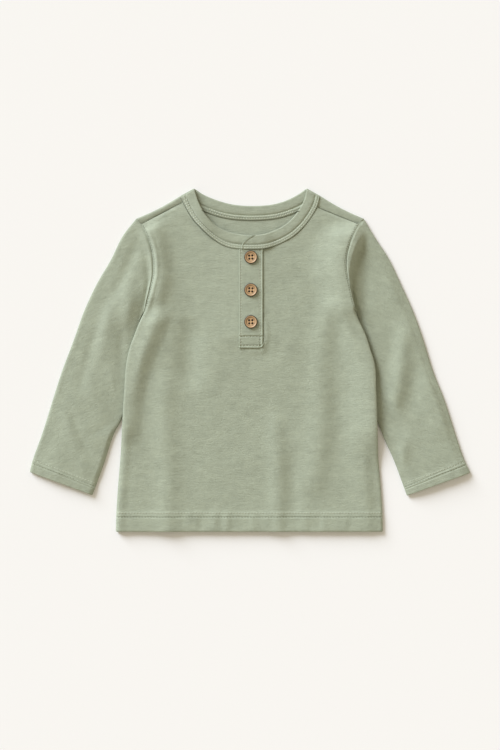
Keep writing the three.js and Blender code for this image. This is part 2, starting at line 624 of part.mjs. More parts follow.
function neckband() {
  // Each station is a line across the band: shares along the two edges, and how its height is found.
  const stations = [];
  const fronts = { right: [], left: [] };
  const endShares = {
    right: [shareAtX(neckFrontSewn, BAND_LOWER_END_X), shareAtX(neckFrontFree, BAND_LOWER_END_X)],
    left: [shareAtX(neckFrontSewn, BAND_UPPER_END.sewnX), shareAtX(neckFrontFree, BAND_UPPER_END.freeX)],
  };
  const nearFold = (curve) => BAND_TURN / curve.getLength();
  for (const { name } of SIDES) {
    const fold = name === "right" ? 0 : 1;
    const inward = name === "right" ? 1 : -1;
    const from = endShares[name];
    const to = [fold + inward * nearFold(neckFrontSewn), fold + inward * nearFold(neckFrontFree)];
    for (let k = 0; k <= BAND_FRONT_CELLS; k += 1) {
      fronts[name].push({ part: name, shares: mix(from, to, k / BAND_FRONT_CELLS) });
    }
  }
  const turns = between(0, 1, BAND_TURN_CELLS).slice(0, -1);
  const turn = (name, reversed) =>
    (reversed ? [...turns].reverse() : turns).map((angle) => ({ part: `fold_${name}`, angle: angle * Math.PI }));
  stations.push(...fronts.right, ...turn("right", false));
  for (let k = 0; k <= BAND_BACK_CELLS; k += 1) {
    const share = k / BAND_BACK_CELLS;
    const ends = [nearFold(neckBackSewn), nearFold(neckBackFree)];
    stations.push({ part: "back", shares: ends.map((end) => lerp(end, 1 - end, share)) });
  }
  stations.push(...turn("left", true), ...fronts.left.reverse());
  const face = (i, j) => {
    const { part, shares, angle } = stations[i];
    const across = j / BAND_WIDTH_CELLS;
    const pick = (sewn, free, own) => {
      const a = sewn.getPointAt(own[0]);
      const b = free.getPointAt(own[1]);
      return mix([a.x, a.y], [b.x, b.y], across);
    };
    if (part === "back") return [...pick(neckBackSewn, neckBackFree, shares), 0];
    if (part.startsWith("fold")) {
      const fold = part === "fold_right" ? 0 : 1;
      const inward = fold === 0 ? 1 : -1;
      const edge = pick(neckFrontSewn, neckFrontFree, [fold, fold]);
      const [sewn, free] = angle < Math.PI / 2 ? [neckFrontSewn, neckFrontFree] : [neckBackSewn, neckBackFree];
      const start = pick(sewn, free, [fold + inward * nearFold(sewn), fold + inward * nearFold(free)]);
      return [...mix(start, edge, Math.sin(angle)), BAND_TURN + BAND_TURN * Math.cos(angle)];
    }
    const plan = pick(neckFrontSewn, neckFrontFree, shares);
    return [...plan, bandFrontFace(...plan, part === "left")];
  };
  return clothWall({
    columns: stations.length - 1,
    rows: BAND_WIDTH_CELLS,
    face,
    facing: -1,
    thickness: () => BAND_CLOTH,
  });
}

// Placket strips, made from the front's face, moved out

const STRIP_ROWS = 15;
const STRIP_COLUMNS = 4;

const ROUND_CORNER = 0.45; // how far a rounded corner's point is cut back, as a share of its radius

const stripClimb = (y) => smoothstep(y, PLACKET.top - STRIP_CLIMB, PLACKET.top);

function placketStrip({ from, to, foot, top, rise, endRise, corner }) {
  const face = (i, j) => {
    const x = lerp(from, to, i / STRIP_COLUMNS);
    const y = lerp(foot, top(x), j / STRIP_ROWS);
    const climb = endRise * stripClimb(y);
    const cut = j === 0 && i === STRIP_COLUMNS ? corner * ROUND_CORNER : 0;
    return [x - cut, y + cut, frontFace(x, y) + rise + climb];
  };
  return clothWall({
    columns: STRIP_COLUMNS,
    rows: STRIP_ROWS,
    face,
    facing: 1,
    thickness: () => STRIP_CLOTH,
  });
}

const neckSeamY = (x) => panelNeckPoint(neckFrontSewn, shareAtX(neckFrontSewn, x))[1];
const OVER_RISE = SEAM_GAP - STRIP_SINK + STRIP_CLOTH;

const placketOver = () => placketStrip({
  from: PLACKET.right,
  to: PLACKET.left,
  foot: PLACKET.foot,
  top: neckSeamY,
  rise: OVER_RISE,
  endRise: STRIP_END_RISE,
  corner: PLACKET.corner,
});

const placketUnder = () => placketStrip({
  from: PLACKET.right + 0.4,
  to: PLACKET.left - 0.4,
  foot: UNDER_FOOT_Y,
  top: neckSeamY,
  rise: -STRIP_SINK,
  endRise: 0,
  corner: 0,
});

// Buttons

const wasm = await Module();
wasm.setup();

function toSolid(geometry) {
  const bare = geometry.clone();
  bare.deleteAttribute("normal");
  bare.deleteAttribute("uv");
  const merged = mergeVertices(bare, 1e-4);
  return new wasm.Manifold(
    new wasm.Mesh({
      numProp: 3,
      vertProperties: merged.attributes.position.array,
      triVerts: new Uint32Array(merged.index.array),
    }),
  );
}

function toGeometry(solid) {
  const mesh = solid.getMesh();
  const geometry = new THREE.BufferGeometry();
  geometry.setAttribute("position", new THREE.BufferAttribute(mesh.vertProperties, 3));
  geometry.setIndex(new THREE.BufferAttribute(mesh.triVerts, 1));
  geometry.computeVertexNormals();
  return geometry;
}

// A turned disc with a raised rim, a shallow dish and four holes, its back at z 0.
function buttonGeometry() {
  const { radius, height, dish, rim, hole, spacing } = BUTTON;
  const profile = [
    [0, 0],
    [radius - 0.9, 0],
    [radius, 0.9],
    [radius, height - 0.8],
    [radius - 0.7, height],
    [radius - rim, height - 0.2],
    [radius - rim - 0.7, height - dish],
    [0, height - dish],
  ];
  const disc = new THREE.LatheGeometry(profile.map(([r, z]) => new THREE.Vector2(r, z)), 28);
  disc.rotateX(Math.PI / 2);
  let solid = toSolid(disc);
  for (const x of [-spacing, spacing]) {
    for (const y of [-spacing, spacing]) {
      const drill = new THREE.CylinderGeometry(hole, hole, 3 * height, 8);
      drill.rotateX(Math.PI / 2).translate(x, y, height / 2);
      solid = solid.subtract(toSolid(drill));
    }
  }
  return toGeometry(solid);
}

// Colours, and the shirt put together

const jersey = { color: 0xaab098, roughness: 0.95, metalness: 0 };
const wood = { color: 0xcda073, roughness: 0.6, metalness: 0 };

function piece(name, geometry, look) {
  const mesh = new THREE.Mesh(geometry, new THREE.MeshStandardMaterial(look));
  mesh.name = name;
  return mesh;
}

const shirt = new THREE.Group();
shirt.name = "henley_shirt";
shirt.add(piece("back_panel", backPanel(), jersey));
shirt.add(piece("front_panel", frontPanel(), jersey));
for (const side of SIDES) shirt.add(piece(`sleeve_${side.name}`, sleeve(side), jersey));
shirt.add(piece("neckband", neckband(), jersey));
shirt.add(piece("placket_under", placketUnder(), jersey));
shirt.add(piece("placket_over", placketOver(), jersey));

for (const { name, y } of BUTTON_ROWS) {
  const button = piece(name, buttonGeometry(), wood);
  const highest = Math.max(frontFace(BUTTON.x, y - BUTTON.radius), frontFace(BUTTON.x, y + BUTTON.radius));
  const climb = STRIP_END_RISE * stripClimb(y + BUTTON.radius);
  button.position.set(BUTTON.x, y, highest + OVER_RISE + climb + SEAM_GAP);
  shirt.add(button);
}

export default shirt;
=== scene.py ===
import bmesh
import bpy
import numpy as np
from mathutils import Matrix, Vector
from mathutils.bvhtree import BVHTree


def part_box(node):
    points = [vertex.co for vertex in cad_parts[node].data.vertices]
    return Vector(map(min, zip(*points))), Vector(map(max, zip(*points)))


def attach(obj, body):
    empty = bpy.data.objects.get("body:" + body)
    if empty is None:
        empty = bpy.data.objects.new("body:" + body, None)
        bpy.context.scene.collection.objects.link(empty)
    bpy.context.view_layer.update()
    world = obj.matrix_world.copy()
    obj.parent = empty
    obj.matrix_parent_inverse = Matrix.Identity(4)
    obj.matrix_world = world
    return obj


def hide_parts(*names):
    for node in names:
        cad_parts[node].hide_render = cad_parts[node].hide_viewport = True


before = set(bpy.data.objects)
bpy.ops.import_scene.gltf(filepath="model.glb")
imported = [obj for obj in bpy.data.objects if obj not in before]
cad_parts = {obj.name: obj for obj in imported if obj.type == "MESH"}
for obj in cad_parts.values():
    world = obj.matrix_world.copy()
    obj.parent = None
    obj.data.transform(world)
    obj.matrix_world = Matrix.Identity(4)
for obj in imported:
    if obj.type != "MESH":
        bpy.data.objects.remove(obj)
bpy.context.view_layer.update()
scene = bpy.context.scene
MM = 0.001


# The surface: a smooth, warm white table, far larger than the view.
# It only receives the shirt's soft shadow.
SURFACE_PAINT = {"Base Color": (0.925, 0.90, 0.871, 1), "Roughness": 0.9, "Specular IOR Level": 0.2}
SURFACE_CORNERS = [(-4, -4, 0), (4, -4, 0), (4, 4, 0), (-4, 4, 0)]
SURFACE_DROP = 0.0003


def new_material(name, finish):
    """A material, its node tree and its shader, with the finish set on the shader's own sockets."""
    material = bpy.data.materials.new(name)
    material.use_nodes = True
    shader = material.node_tree.nodes["Principled BSDF"]
    for socket, value in finish.items():
        shader.inputs[socket].default_value = value
    return material, material.node_tree, shader


def in_scene(name, data):
    """An object made of a mesh, a light or a camera, put into the scene."""
    thing = bpy.data.objects.new(name, data)
    scene.collection.objects.link(thing)
    return thing


surface_mesh = bpy.data.meshes.new("surface")
surface_mesh.from_pydata(SURFACE_CORNERS, [], [(0, 1, 2, 3)])
surface_mesh.materials.append(new_material("table_paint", SURFACE_PAINT)[0])
surface = in_scene("surface", surface_mesh)
surface.location.z = -SURFACE_DROP


# Light and camera: low, soft daylight from the upper left of the picture, a pale warm room all round,
# and the camera straight above, upright along the shirt.
CAMERA_HEIGHT = 2.0
SENSOR = 36
VIEW_LENGTH = 0.75
VIEW_MIDDLE_Y = -0.015
DAYLIGHT = {"from": (-0.63, 0.66, 0.40), "strength": 4.7, "spread": 0.6, "colour": (0.796, 0.870, 1.0)}
ROOM = {"strength": 0.545, "colour": (1.0, 0.922, 0.750, 1)}

scene.view_settings.view_transform = "Standard"
world = bpy.data.worlds.new("room")
world.use_nodes = True
background = world.node_tree.nodes["Background"]
background.inputs["Color"].default_value = ROOM["colour"]
background.inputs["Strength"].default_value = ROOM["strength"]
scene.world = world

daylight_data = bpy.data.lights.new("daylight", "SUN")
daylight_data.angle = DAYLIGHT["spread"]
daylight_data.energy = DAYLIGHT["strength"]
daylight_data.color = DAYLIGHT["colour"]
daylight = in_scene("daylight", daylight_data)
daylight.location = DAYLIGHT["from"]
daylight.rotation_euler = (-Vector(DAYLIGHT["from"])).to_track_quat("-Z", "Y").to_euler()

camera_data = bpy.data.cameras.new("camera")
camera_data.sensor_width = SENSOR
camera_data.lens = SENSOR * CAMERA_HEIGHT / VIEW_LENGTH
camera = in_scene("camera", camera_data)
camera.location = (0, VIEW_MIDDLE_Y, CAMERA_HEIGHT)
scene.camera = camera


# Back: one piece of jersey under everything. It lies flat on the surface, turns up at its hem, and comes
# forward over both shoulders to seams that sit in front of the fold.
CLOTH = 1.0
HEM_CLOTH = 1.6
SEAM_GAP = 0.3
ARMHOLE_GAP = 0.08
NECK_GAP = 0.12
FLAT_HEIGHT = 3.0
HEM_RISE = 0.9
HEM_STEP = 6.0
FOLD_REACH = 2.0
TURN_SHARE = 0.98
HEM_Y = -171.5
HEM_TOP_Y = -154.5
UNDERARM_Y = 49
SEAM_TOP_Y = 135.9
SHOULDER_X = 113.5
SHOULDER_Y = 141.3
SHOULDER_BOW = 1.2
SHOULDER_DROP = 0.7
WING_SEAM_X = 67.0
BACK_WING_SHARE = 0.2
SIGN = {"right": -1, "left": 1}

# How the body's sides rise over the sleeves that are tucked under them: how high, how far in, and where
TUCK = {
    "right": {"lift": 4.4, "reach": (4, 22), "foot": (-92, -64), "spread": 11},
    "left": {"lift": 7.2, "reach": (3, 30), "foot": (-112, -64), "spread": 0},
}
TUCK_TOP = (34, 56)
TUCK_SPREADS = (-50, 24)

# Half widths of the body, wearer's right and left: side seams up to the underarm, armholes above it
BODY_SECTIONS = [
    # y, right, left
    (-171.5, 134.1, 132.6),
    (-150, 133.4, 132.1),
    (-127, 131.9, 130.6),
    (-95, 129.3, 128.0),
    (-61, 127.3, 126.8),
    (-31, 125.4, 125.8),
    (-5, 123.5, 124.4),
    (12, 120.0, 119.4),
    (24, 115.6, 115.5),
    (38, 110.2, 109.2),
    (49, 105.3, 105.4),
    (60, 103.0, 102.1),
    (72, 99.9, 99.6),
    (84, 97.2, 96.8),
    (95, 96.8, 95.6),
    (106, 97.8, 96.4),
    (117, 100.4, 99.3),
    (127, 104.3, 103.4),
    (135.9, 109.1, 108.2),
    (141.3, 113.5, 113.5),
]

# The neckband's sewn edge and free edge round the front and the back of the neck
NECK_FRONT = [
    # sewn x, y, free x, y
    (-69.5, 164.0, -55.8, 171.5),
    (-66.6, 157.0, -51.6, 158.4),
    (-57.4, 141.0, -45.0, 146.0),
    (-47.0, 129.7, -36.6, 136.4),
    (-35.6, 119.8, -27.4, 130.4),
    (-24.1, 113.2, -17.6, 127.0),
    (-11.6, 110.8, -8.0, 125.3),
    (2.2, 110.4, 4.0, 124.6),
    (16.5, 111.4, 14.6, 125.9),
    (32.0, 116.9, 24.4, 129.3),
    (45.3, 124.9, 35.6, 135.6),
    (58.7, 139.1, 46.4, 146.6),
    (67.3, 153.5, 54.0, 160.4),
    (70.1, 164.0, 56.6, 171.5),
]
NECK_BACK = [
    # sewn x, y, free x, y
    (-69.5, 164.0, -55.8, 171.5),
    (-58.6, 154.6, -46.6, 165.4),
    (-46.0, 148.5, -34.0, 160.0),
    (-26.0, 142.0, -18.0, 155.6),
    (0.5, 139.5, 1.0, 154.0),
    (28.0, 141.7, 22.0, 155.4),
    (47.0, 148.0, 36.0, 159.4),
    (60.0, 155.4, 48.0, 165.4),
    (70.1, 164.0, 56.6, 171.5),
]


def smooth(value, low, high):
    """0 below low, 1 above high, and an easy curve between."""
    t = np.clip((value - low) / (high - low), 0, 1)
    return t * t * (3 - 2 * t)


def mix(a, b, t):
    """A point or points the share t of the way from a to b."""
    t = np.asarray(t, float)[..., None]
    return np.asarray(a) * (1 - t) + np.asarray(b) * t


def walk(line):
    """How far along a line each of its points lies."""
    return np.concatenate([[0], np.cumsum(np.linalg.norm(np.diff(line, axis=0), axis=1))])


def pick(line, places, at):
    """Plan points of a line, where places says how far along it each of its own points is."""
    return np.stack([np.interp(at, places, line[:, k]) for k in (0, 1)], -1)


def route(points):
    """A smooth line through plan points, as many points at even distances along it."""
    p = np.array(points, float)
    p = np.vstack([2 * p[0] - p[1], p, 2 * p[-1] - p[-2]])
    share = np.linspace(0, 1, 60, endpoint=False)[:, None]
    drawn = []
    for k in range(1, len(p) - 2):
        gaps = [max(np.linalg.norm(p[k + i] - p[k + i - 1]) ** 0.5, 1e-4) for i in range(3)]
        chords = [(p[k + i] - p[k + i - 1]) / gaps[i] for i in range(3)]
        leave = chords[0] - (p[k + 1] - p[k - 1]) / (gaps[0] + gaps[1]) + chords[1]
        reach = chords[1] - (p[k + 2] - p[k]) / (gaps[1] + gaps[2]) + chords[2]
        leave, reach = leave * gaps[1], reach * gaps[1]
        rise = 3 * share**2 - 2 * share**3
        drawn.append(
            p[k] * (1 - rise)
            + p[k + 1] * rise
            + leave * (share - 2 * share**2 + share**3)
            + reach * (share**3 - share**2)
        )
    line = np.vstack([*drawn, p[-2:-1]])
    walked = walk(line)
    return pick(line, walked, np.linspace(0, walked[-1], 1200))


def along(line, share):
    """Points of a route at shares of its length."""
    return pick(line, np.linspace(0, 1, len(line)), share)


def share_at_x(line, x):
    """The share of a route's length at which it crosses x, where its x only grows."""
    return np.interp(x, line[:, 0], np.linspace(0, 1, len(line)))


def beside(line, share, gap):
    """Points of a route, moved to its right by a gap."""
    step = 1e-3
    ahead = along(line, np.clip(share + step, 0, 1)) - along(line, np.clip(share - step, 0, 1))
    ahead /= np.linalg.norm(ahead, axis=-1, keepdims=True)
    return along(line, share) + gap * np.stack([ahead[..., 1], -ahead[..., 0]], -1)


side_lines = {
    "right": route([(row[1], row[0]) for row in BODY_SECTIONS]),
    "left": route([(row[2], row[0]) for row in BODY_SECTIONS]),
}
neck_front_sewn = route([row[:2] for row in NECK_FRONT])
neck_front_free = route([row[2:] for row in NECK_FRONT])
neck_back_sewn = route([row[:2] for row in NECK_BACK])
neck_back_free = route([row[2:] for row in NECK_BACK])


def half_width(side, y):
    """The body's half width at y, straight across the last bit of the armhole to the shoulder's fold."""
    line = side_lines[side]
    seam_top = np.interp(SEAM_TOP_Y, line[:, 1], line[:, 0])
    past = np.clip((y - SEAM_TOP_Y) / (SHOULDER_Y - SEAM_TOP_Y), 0, 1)
    curved = np.interp(np.minimum(y, SEAM_TOP_Y), line[:, 1], line[:, 0])
    return curved + past * (SHOULDER_X - seam_top)


def armhole_point(side, y, shift):
    y = np.asarray(y, float)
    return np.stack([SIGN[side] * (half_width(side, y) + shift), y], -1)


def edge_distance(x, y):
    return np.maximum(np.minimum(half_width("right", y) + x, half_width("left", y) - x), 0)


def round_rise(distance, reach=FOLD_REACH):
    """How far a folded edge has rounded up at a distance in from it, from 0 to 1."""
    return np.sqrt(1 - (1 - np.minimum(distance / reach, 1)) ** 2)


def hem_share(y):
    return 1 - smooth(y, HEM_TOP_Y - HEM_STEP, HEM_TOP_Y + HEM_STEP)


def flat_height(y):
    return FLAT_HEIGHT + HEM_RISE * hem_share(y)


def side_closed(y):
    """1 where the body's side is one closed fold, and 0 where the armhole opens it."""
    return 1 - smooth(y, UNDERARM_Y, UNDERARM_Y + FOLD_REACH + 1)


def tuck_lift(x, y):
    """The body rises over the part of the sleeve that is tucked under its side."""
    lift = np.zeros(np.broadcast(x, y).shape)
    for side, sign in SIGN.items():
        tuck = TUCK[side]
        distance = np.maximum(half_width(side, y) - sign * x, 0)
        run = (1 - smooth(y, *TUCK_TOP)) * smooth(y, *tuck["foot"])
        spread = tuck["spread"] * smooth(y, *TUCK_SPREADS)
        lift += tuck["lift"] * run * (1 - smooth(distance - spread, *tuck["reach"]))
    return lift


def uneven(x, y, size, seed):
    """A soft, uneven field from -1 to 1, with lumps of about the given sizes across and along."""
    wide, tall = size if isinstance(size, tuple) else (size, size)
    knots = np.random.default_rng(seed).uniform(-1, 1, (64, 64))
    u, v = np.asarray(x, float) / wide + 31.5, np.asarray(y, float) / tall + 31.5
    i, j = np.floor(u).astype(int), np.floor(v).astype(int)
    s, t = smooth(u - i, 0, 1), smooth(v - j, 0, 1)
    i, j = i % 64, j % 64
    low = knots[i, j] * (1 - s) + knots[(i + 1) % 64, j] * s
    high = knots[i, (j + 1) % 64] * (1 - s) + knots[(i + 1) % 64, (j + 1) % 64] * s
    return low * (1 - t) + high * t


def cloth_wall(name, face, thickness, facing, keep=None, loop=False, level=None, turned=None):
    """A closed wall of cloth from a grid of face points, in rows then columns.

    facing is 1 where columns then rows turn anticlockwise seen from the face. level marks points whose
    wall runs level in from the edge. turned is how far the face sinks and the inside rises at a turned edge.
    """
    rows, across = face.shape[0] - 1, face.shape[1]
    columns = across if loop else across - 1
    points = face.reshape(-1, 3)
    count = len(points)
    ids = np.arange(count).reshape(rows + 1, across)
    here = np.arange(columns)
    there = (here + 1) % across
    corners = [ids[:-1][:, here], ids[:-1][:, there], ids[1:][:, there], ids[1:][:, here]]
    cells = np.stack(corners, -1)
    cells = cells[keep] if keep is not None else cells.reshape(-1, 4)
    rising = points[cells[:, 2]] - points[cells[:, 0]]
    falling = points[cells[:, 3]] - points[cells[:, 1]]
    cell_normals = np.cross(rising, falling) * facing
    normals = np.zeros_like(points)
    for k in range(4):
        np.add.at(normals, cells[:, k], cell_normals)
    if level is not None:
        normals[level.ravel(), 2] = 0
    normals /= np.maximum(np.linalg.norm(normals, axis=1, keepdims=True), 1e-12)
    depth = np.broadcast_to(thickness, face.shape[:2]).reshape(-1, 1)
    sink = 0 if turned is None else np.broadcast_to(turned, face.shape[:2]).reshape(-1, 1)
    outer = points - normals * sink
    inner = points - normals * (depth - sink)
    starts, ends = cells.ravel(), np.roll(cells, -1, axis=1).ravel()
    lone = ~np.isin(starts * count + ends, ends * count + starts)
    rims = np.stack([ends, starts, starts + count, ends + count], -1)[lone]
    faces = np.vstack([cells, cells[:, ::-1] + count, rims])
    if facing < 0:
        faces = faces[:, ::-1]
    used, renamed = np.unique(faces, return_inverse=True)
    vertices = np.vstack([outer, inner])[used] * MM
    mesh = bpy.data.meshes.new(name)
    mesh.from_pydata(vertices.tolist(), [], renamed.reshape(-1, 4).tolist())
    mesh.shade_smooth()
    mesh.set_sharp_from_angle(angle=0.9)
    return in_scene(name, mesh)


def turned_in(distance, cloth):
    """How far the cloth's two faces close on each other at a distance from its turned or cut edge."""
    return cloth / 2 * (1 - round_rise(distance, cloth / 2)) * TURN_SHARE


def node_group(name, inputs, outputs):
    """An empty shader group with its input and output nodes; inputs and outputs are name, type, value."""
    group = bpy.data.node_groups.new(name, "ShaderNodeTree")
    for label, kind, value in inputs:
        socket = group.interface.new_socket(label, in_out="INPUT", socket_type=kind)
        if value is not None:
            socket.default_value = value
    for label, kind in outputs:
        group.interface.new_socket(label, in_out="OUTPUT", socket_type=kind)
    return group, group.nodes.new("NodeGroupInput"), group.nodes.new("NodeGroupOutput")


def wire(tree, kind, values=(), **settings):
    """A shader node with its settings and its inputs, each a value or another node's output."""
    node = tree.nodes.new(kind)
    for key, value in settings.items():
        setattr(node, key, value)
    for key, value in dict(values).items():
        if isinstance(value, bpy.types.NodeSocket):
            tree.links.new(value, node.inputs[key])
        else:
            node.inputs[key].default_value = value
    return node


def maths(tree, operation, *values):
    node = wire(tree, "ShaderNodeMath", enumerate(values), operation=operation)
    return node.outputs[0]


WALE = 0.0009
COURSE = 0.0007
CRINKLE = 4.4
CLOUDS = 0.75
STREAKS = 0.34
JERSEY_RELIEF = 0.00012
JERSEY_FINISH = {"Roughness": 0.92, "Specular IOR Level": 0.25, "Sheen Weight": 0.12, "Sheen Roughness": 0.5}
SAGE = (0.392, 0.424, 0.313)


def noise(tree, place, scale, detail, roughness, tilt=0.0, **values):
    """Noise stretched by its scale along each axis, as an output from 0 to 1."""
    stretched = wire(tree, "ShaderNodeMapping", {"Vector": place, "Scale": scale, "Rotation": (0, 0, tilt)})
    values.update({"Vector": stretched.outputs[0], "Scale": 1.0, "Detail": detail, "Roughness": roughness})
    return wire(tree, "ShaderNodeTexNoise", values).outputs["Fac"]


def bumped(tree, shader, height, distance):
    bump = wire(tree, "ShaderNodeBump", {"Height": height, "Distance": distance, "Strength": 1.0})
    tree.links.new(bump.outputs[0], shader.inputs["Normal"])


def knit_group():
    """Jersey's face: columns of small V stitches, as a height and as painted shade that darkens the hollows
    between them and lightens their crowns.
    """
    group, inside, outside = node_group(
        "knit_face",
        [("Place", "NodeSocketVector", None), ("Wale", "NodeSocketFloat", WALE),
         ("Course", "NodeSocketFloat", COURSE)],
        [("Height", "NodeSocketFloat"), ("Shade", "NodeSocketFloat")],
    )
    place = wire(group, "ShaderNodeSeparateXYZ", {0: inside.outputs["Place"]})
    column = maths(group, "DIVIDE", place.outputs["X"], inside.outputs["Wale"])
    in_column = maths(group, "ABSOLUTE", maths(group, "SUBTRACT", maths(group, "FRACT", column), 0.5))
    course = maths(group, "DIVIDE", place.outputs["Y"], inside.outputs["Course"])
    slanted = maths(group, "MULTIPLY_ADD", in_column, 1.6, course)
    loops = maths(group, "SINE", maths(group, "MULTIPLY", slanted, 2 * np.pi))
    crown = maths(group, "COSINE", maths(group, "MULTIPLY", in_column, 2 * np.pi))
    rounded = maths(group, "MULTIPLY_ADD", crown, -0.5, 0.5)
    height = maths(group, "MULTIPLY_ADD", loops, 0.35, rounded)
    group.links.new(height, outside.inputs["Height"])
    # Painted shade: the colour follows the stitches' height, darker in their hollows and lighter on their
    # crowns.
    group.links.new(maths(group, "MULTIPLY_ADD", height, 0.5, 0.25), outside.inputs["Shade"])
    return group


def slub_group():
    """Uneven yarn: thin streaks along the courses, and soft clouds where the dye took unevenly."""
    group, inside, outside = node_group(
        "slub_and_clouds",
        [("Place", "NodeSocketVector", None), ("Streaks", "NodeSocketFloat", 1.0),
         ("Clouds", "NodeSocketFloat", 1.0)],
        [("Shade", "NodeSocketFloat"), ("Height", "NodeSocketFloat"), ("Crinkle", "NodeSocketFloat")],
    )
    place = inside.outputs["Place"]
    crinkle = noise(group, place, (240, 640, 240), 4.0, 0.6, tilt=0.12, Distortion=0.6)
    group.links.new(crinkle, outside.inputs["Crinkle"])
    fine = noise(group, place, (130, 900, 130), 3.0, 0.65)
    broad = noise(group, place, (60, 260, 60), 2.0, 0.5)
    cloud = noise(group, place, (110, 110, 110), 6.0, 0.75)
    streak = maths(group, "ADD", maths(group, "SUBTRACT", fine, 0.5), maths(group, "SUBTRACT", broad, 0.5))
    streak = maths(group, "MULTIPLY", streak, inside.outputs["Streaks"])
    patch = maths(group, "MULTIPLY", maths(group, "SUBTRACT", cloud, 0.5), inside.outputs["Clouds"])
    group.links.new(maths(group, "ADD", streak, patch), outside.inputs["Shade"])
    group.links.new(streak, outside.inputs["Height"])
    return group


KNIT = knit_group()
SLUB = slub_group()


def jersey_material(name, turn=0.0, colour=SAGE, streaks=STREAKS):
    """Matt cotton jersey. turn is the angle of its grain to the body's, in radians."""
    material, tree, shader = new_material(name, JERSEY_FINISH)
    place = wire(tree, "ShaderNodeTexCoord")
    grain = wire(tree, "ShaderNodeMapping", {"Vector": place.outputs["Object"], "Rotation": (0, 0, turn)})
    gauge = {"Place": grain.outputs[0], "Wale": WALE, "Course": COURSE}
    knit = wire(tree, "ShaderNodeGroup", gauge, node_tree=KNIT)
    yarn = {"Place": grain.outputs[0], "Streaks": streaks, "Clouds": CLOUDS}
    slub = wire(tree, "ShaderNodeGroup", yarn, node_tree=SLUB)
    # The knit's shade is painted shade in the hollows between the stitches. The slub's shade is the yarn's
    # own uneven tone.
    shade = maths(tree, "MULTIPLY_ADD", maths(tree, "SUBTRACT", knit.outputs["Shade"], 0.5), 0.16,
                  maths(tree, "MULTIPLY_ADD", slub.outputs["Shade"], 0.62, 1.0))
    tint = wire(tree, "ShaderNodeVectorMath", {0: colour, "Scale": shade}, operation="SCALE")
    tree.links.new(tint.outputs[0], shader.inputs["Base Color"])
    height = maths(tree, "MULTIPLY_ADD", slub.outputs["Height"], 1.0, knit.outputs["Height"])
    height = maths(tree, "MULTIPLY_ADD", slub.outputs["Crinkle"], CRINKLE, height)
    bumped(tree, shader, height, JERSEY_RELIEF)
    return material


def refine(stops, step):
    """The stops, with even steps of about the given size put in between them."""
    parts = [np.linspace(a, b, max(round(abs(b - a) / step), 1), endpoint=False)
             for a, b in zip(stops[:-1], stops[1:])]
    return np.concatenate([*parts, stops[-1:]])


def edge_steps(count, reach=FOLD_REACH):
    """Distances in from a rounded edge, close together at the edge itself."""
    return reach * (1 - np.cos(np.linspace(0, np.pi / 2, count + 1)))


def top_weight(y, top):
    return np.clip((y - HEM_Y) / (top - HEM_Y), 0, 1) ** 3


def front_wing(side):
    """The corner where a shoulder seam meets the neck seam, on the front's side of both."""
    return beside(neck_front_sewn, share_at_x(neck_front_sewn, SIGN[side] * WING_SEAM_X), NECK_GAP)


def shoulder_seam(side, share, shift):
    """Points along a shoulder seam, from the armhole to the neck, moved towards the back by a shift."""
    end, wing = armhole_point(side, SEAM_TOP_Y, -ARMHOLE_GAP), front_wing(side)
    across = np.array([-(wing - end)[1], (wing - end)[0]]) / np.linalg.norm(wing - end)
    return mix(end, wing, share) - SIGN[side] * shift * across


def shoulder_fold(side, share):
    corner = along(neck_front_sewn, 0.0 if side == "right" else 1.0)
    wing = corner + np.array([SIGN[side] * NECK_GAP, -NECK_GAP / 2])
    bow = SHOULDER_BOW * np.sin(np.pi * np.asarray(share))
    return mix(armhole_point(side, SHOULDER_Y, -ARMHOLE_GAP), wing, share) - np.stack(
        [SIGN[side] * bow / 2, bow], -1)


def shoulder_wrap(side, share, turn):
    """The back where it turns over the shoulder; turn runs from 0 underneath to 1 on top."""
    fold, seam = shoulder_fold(side, share), shoulder_seam(side, share, SEAM_GAP)
    reach = FOLD_REACH / np.linalg.norm(seam - fold, axis=-1)
    plan = mix(mix(fold, seam, reach), fold, np.sin(np.pi * turn))
    height = FLAT_HEIGHT / 2 * (1 - np.cos(np.pi * turn))
    return np.concatenate([plan, np.broadcast_to(np.asarray(height)[..., None], plan.shape[:-1] + (1,))], -1)


def back_top(share):
    """The top edge of the back's flat part, from one armhole over the neck to the other."""
    own = np.minimum(share, 1 - share)
    wings = {side: shoulder_wrap(side, np.minimum(own / BACK_WING_SHARE, 1), 0.0)[..., :2] for side in SIGN}
    ends = [share_at_x(neck_back_sewn, shoulder_wrap(side, 1.0, 0.0)[0]) for side in SIGN]
    run = np.clip((share - BACK_WING_SHARE) / (1 - 2 * BACK_WING_SHARE), 0, 1)
    neck = beside(neck_back_sewn, ends[0] + (ends[1] - ends[0]) * run, NECK_GAP)
    on_wing = (own <= BACK_WING_SHARE)[..., None]
    return np.where(on_wing, np.where((share < 0.5)[..., None], wings["right"], wings["left"]), neck)


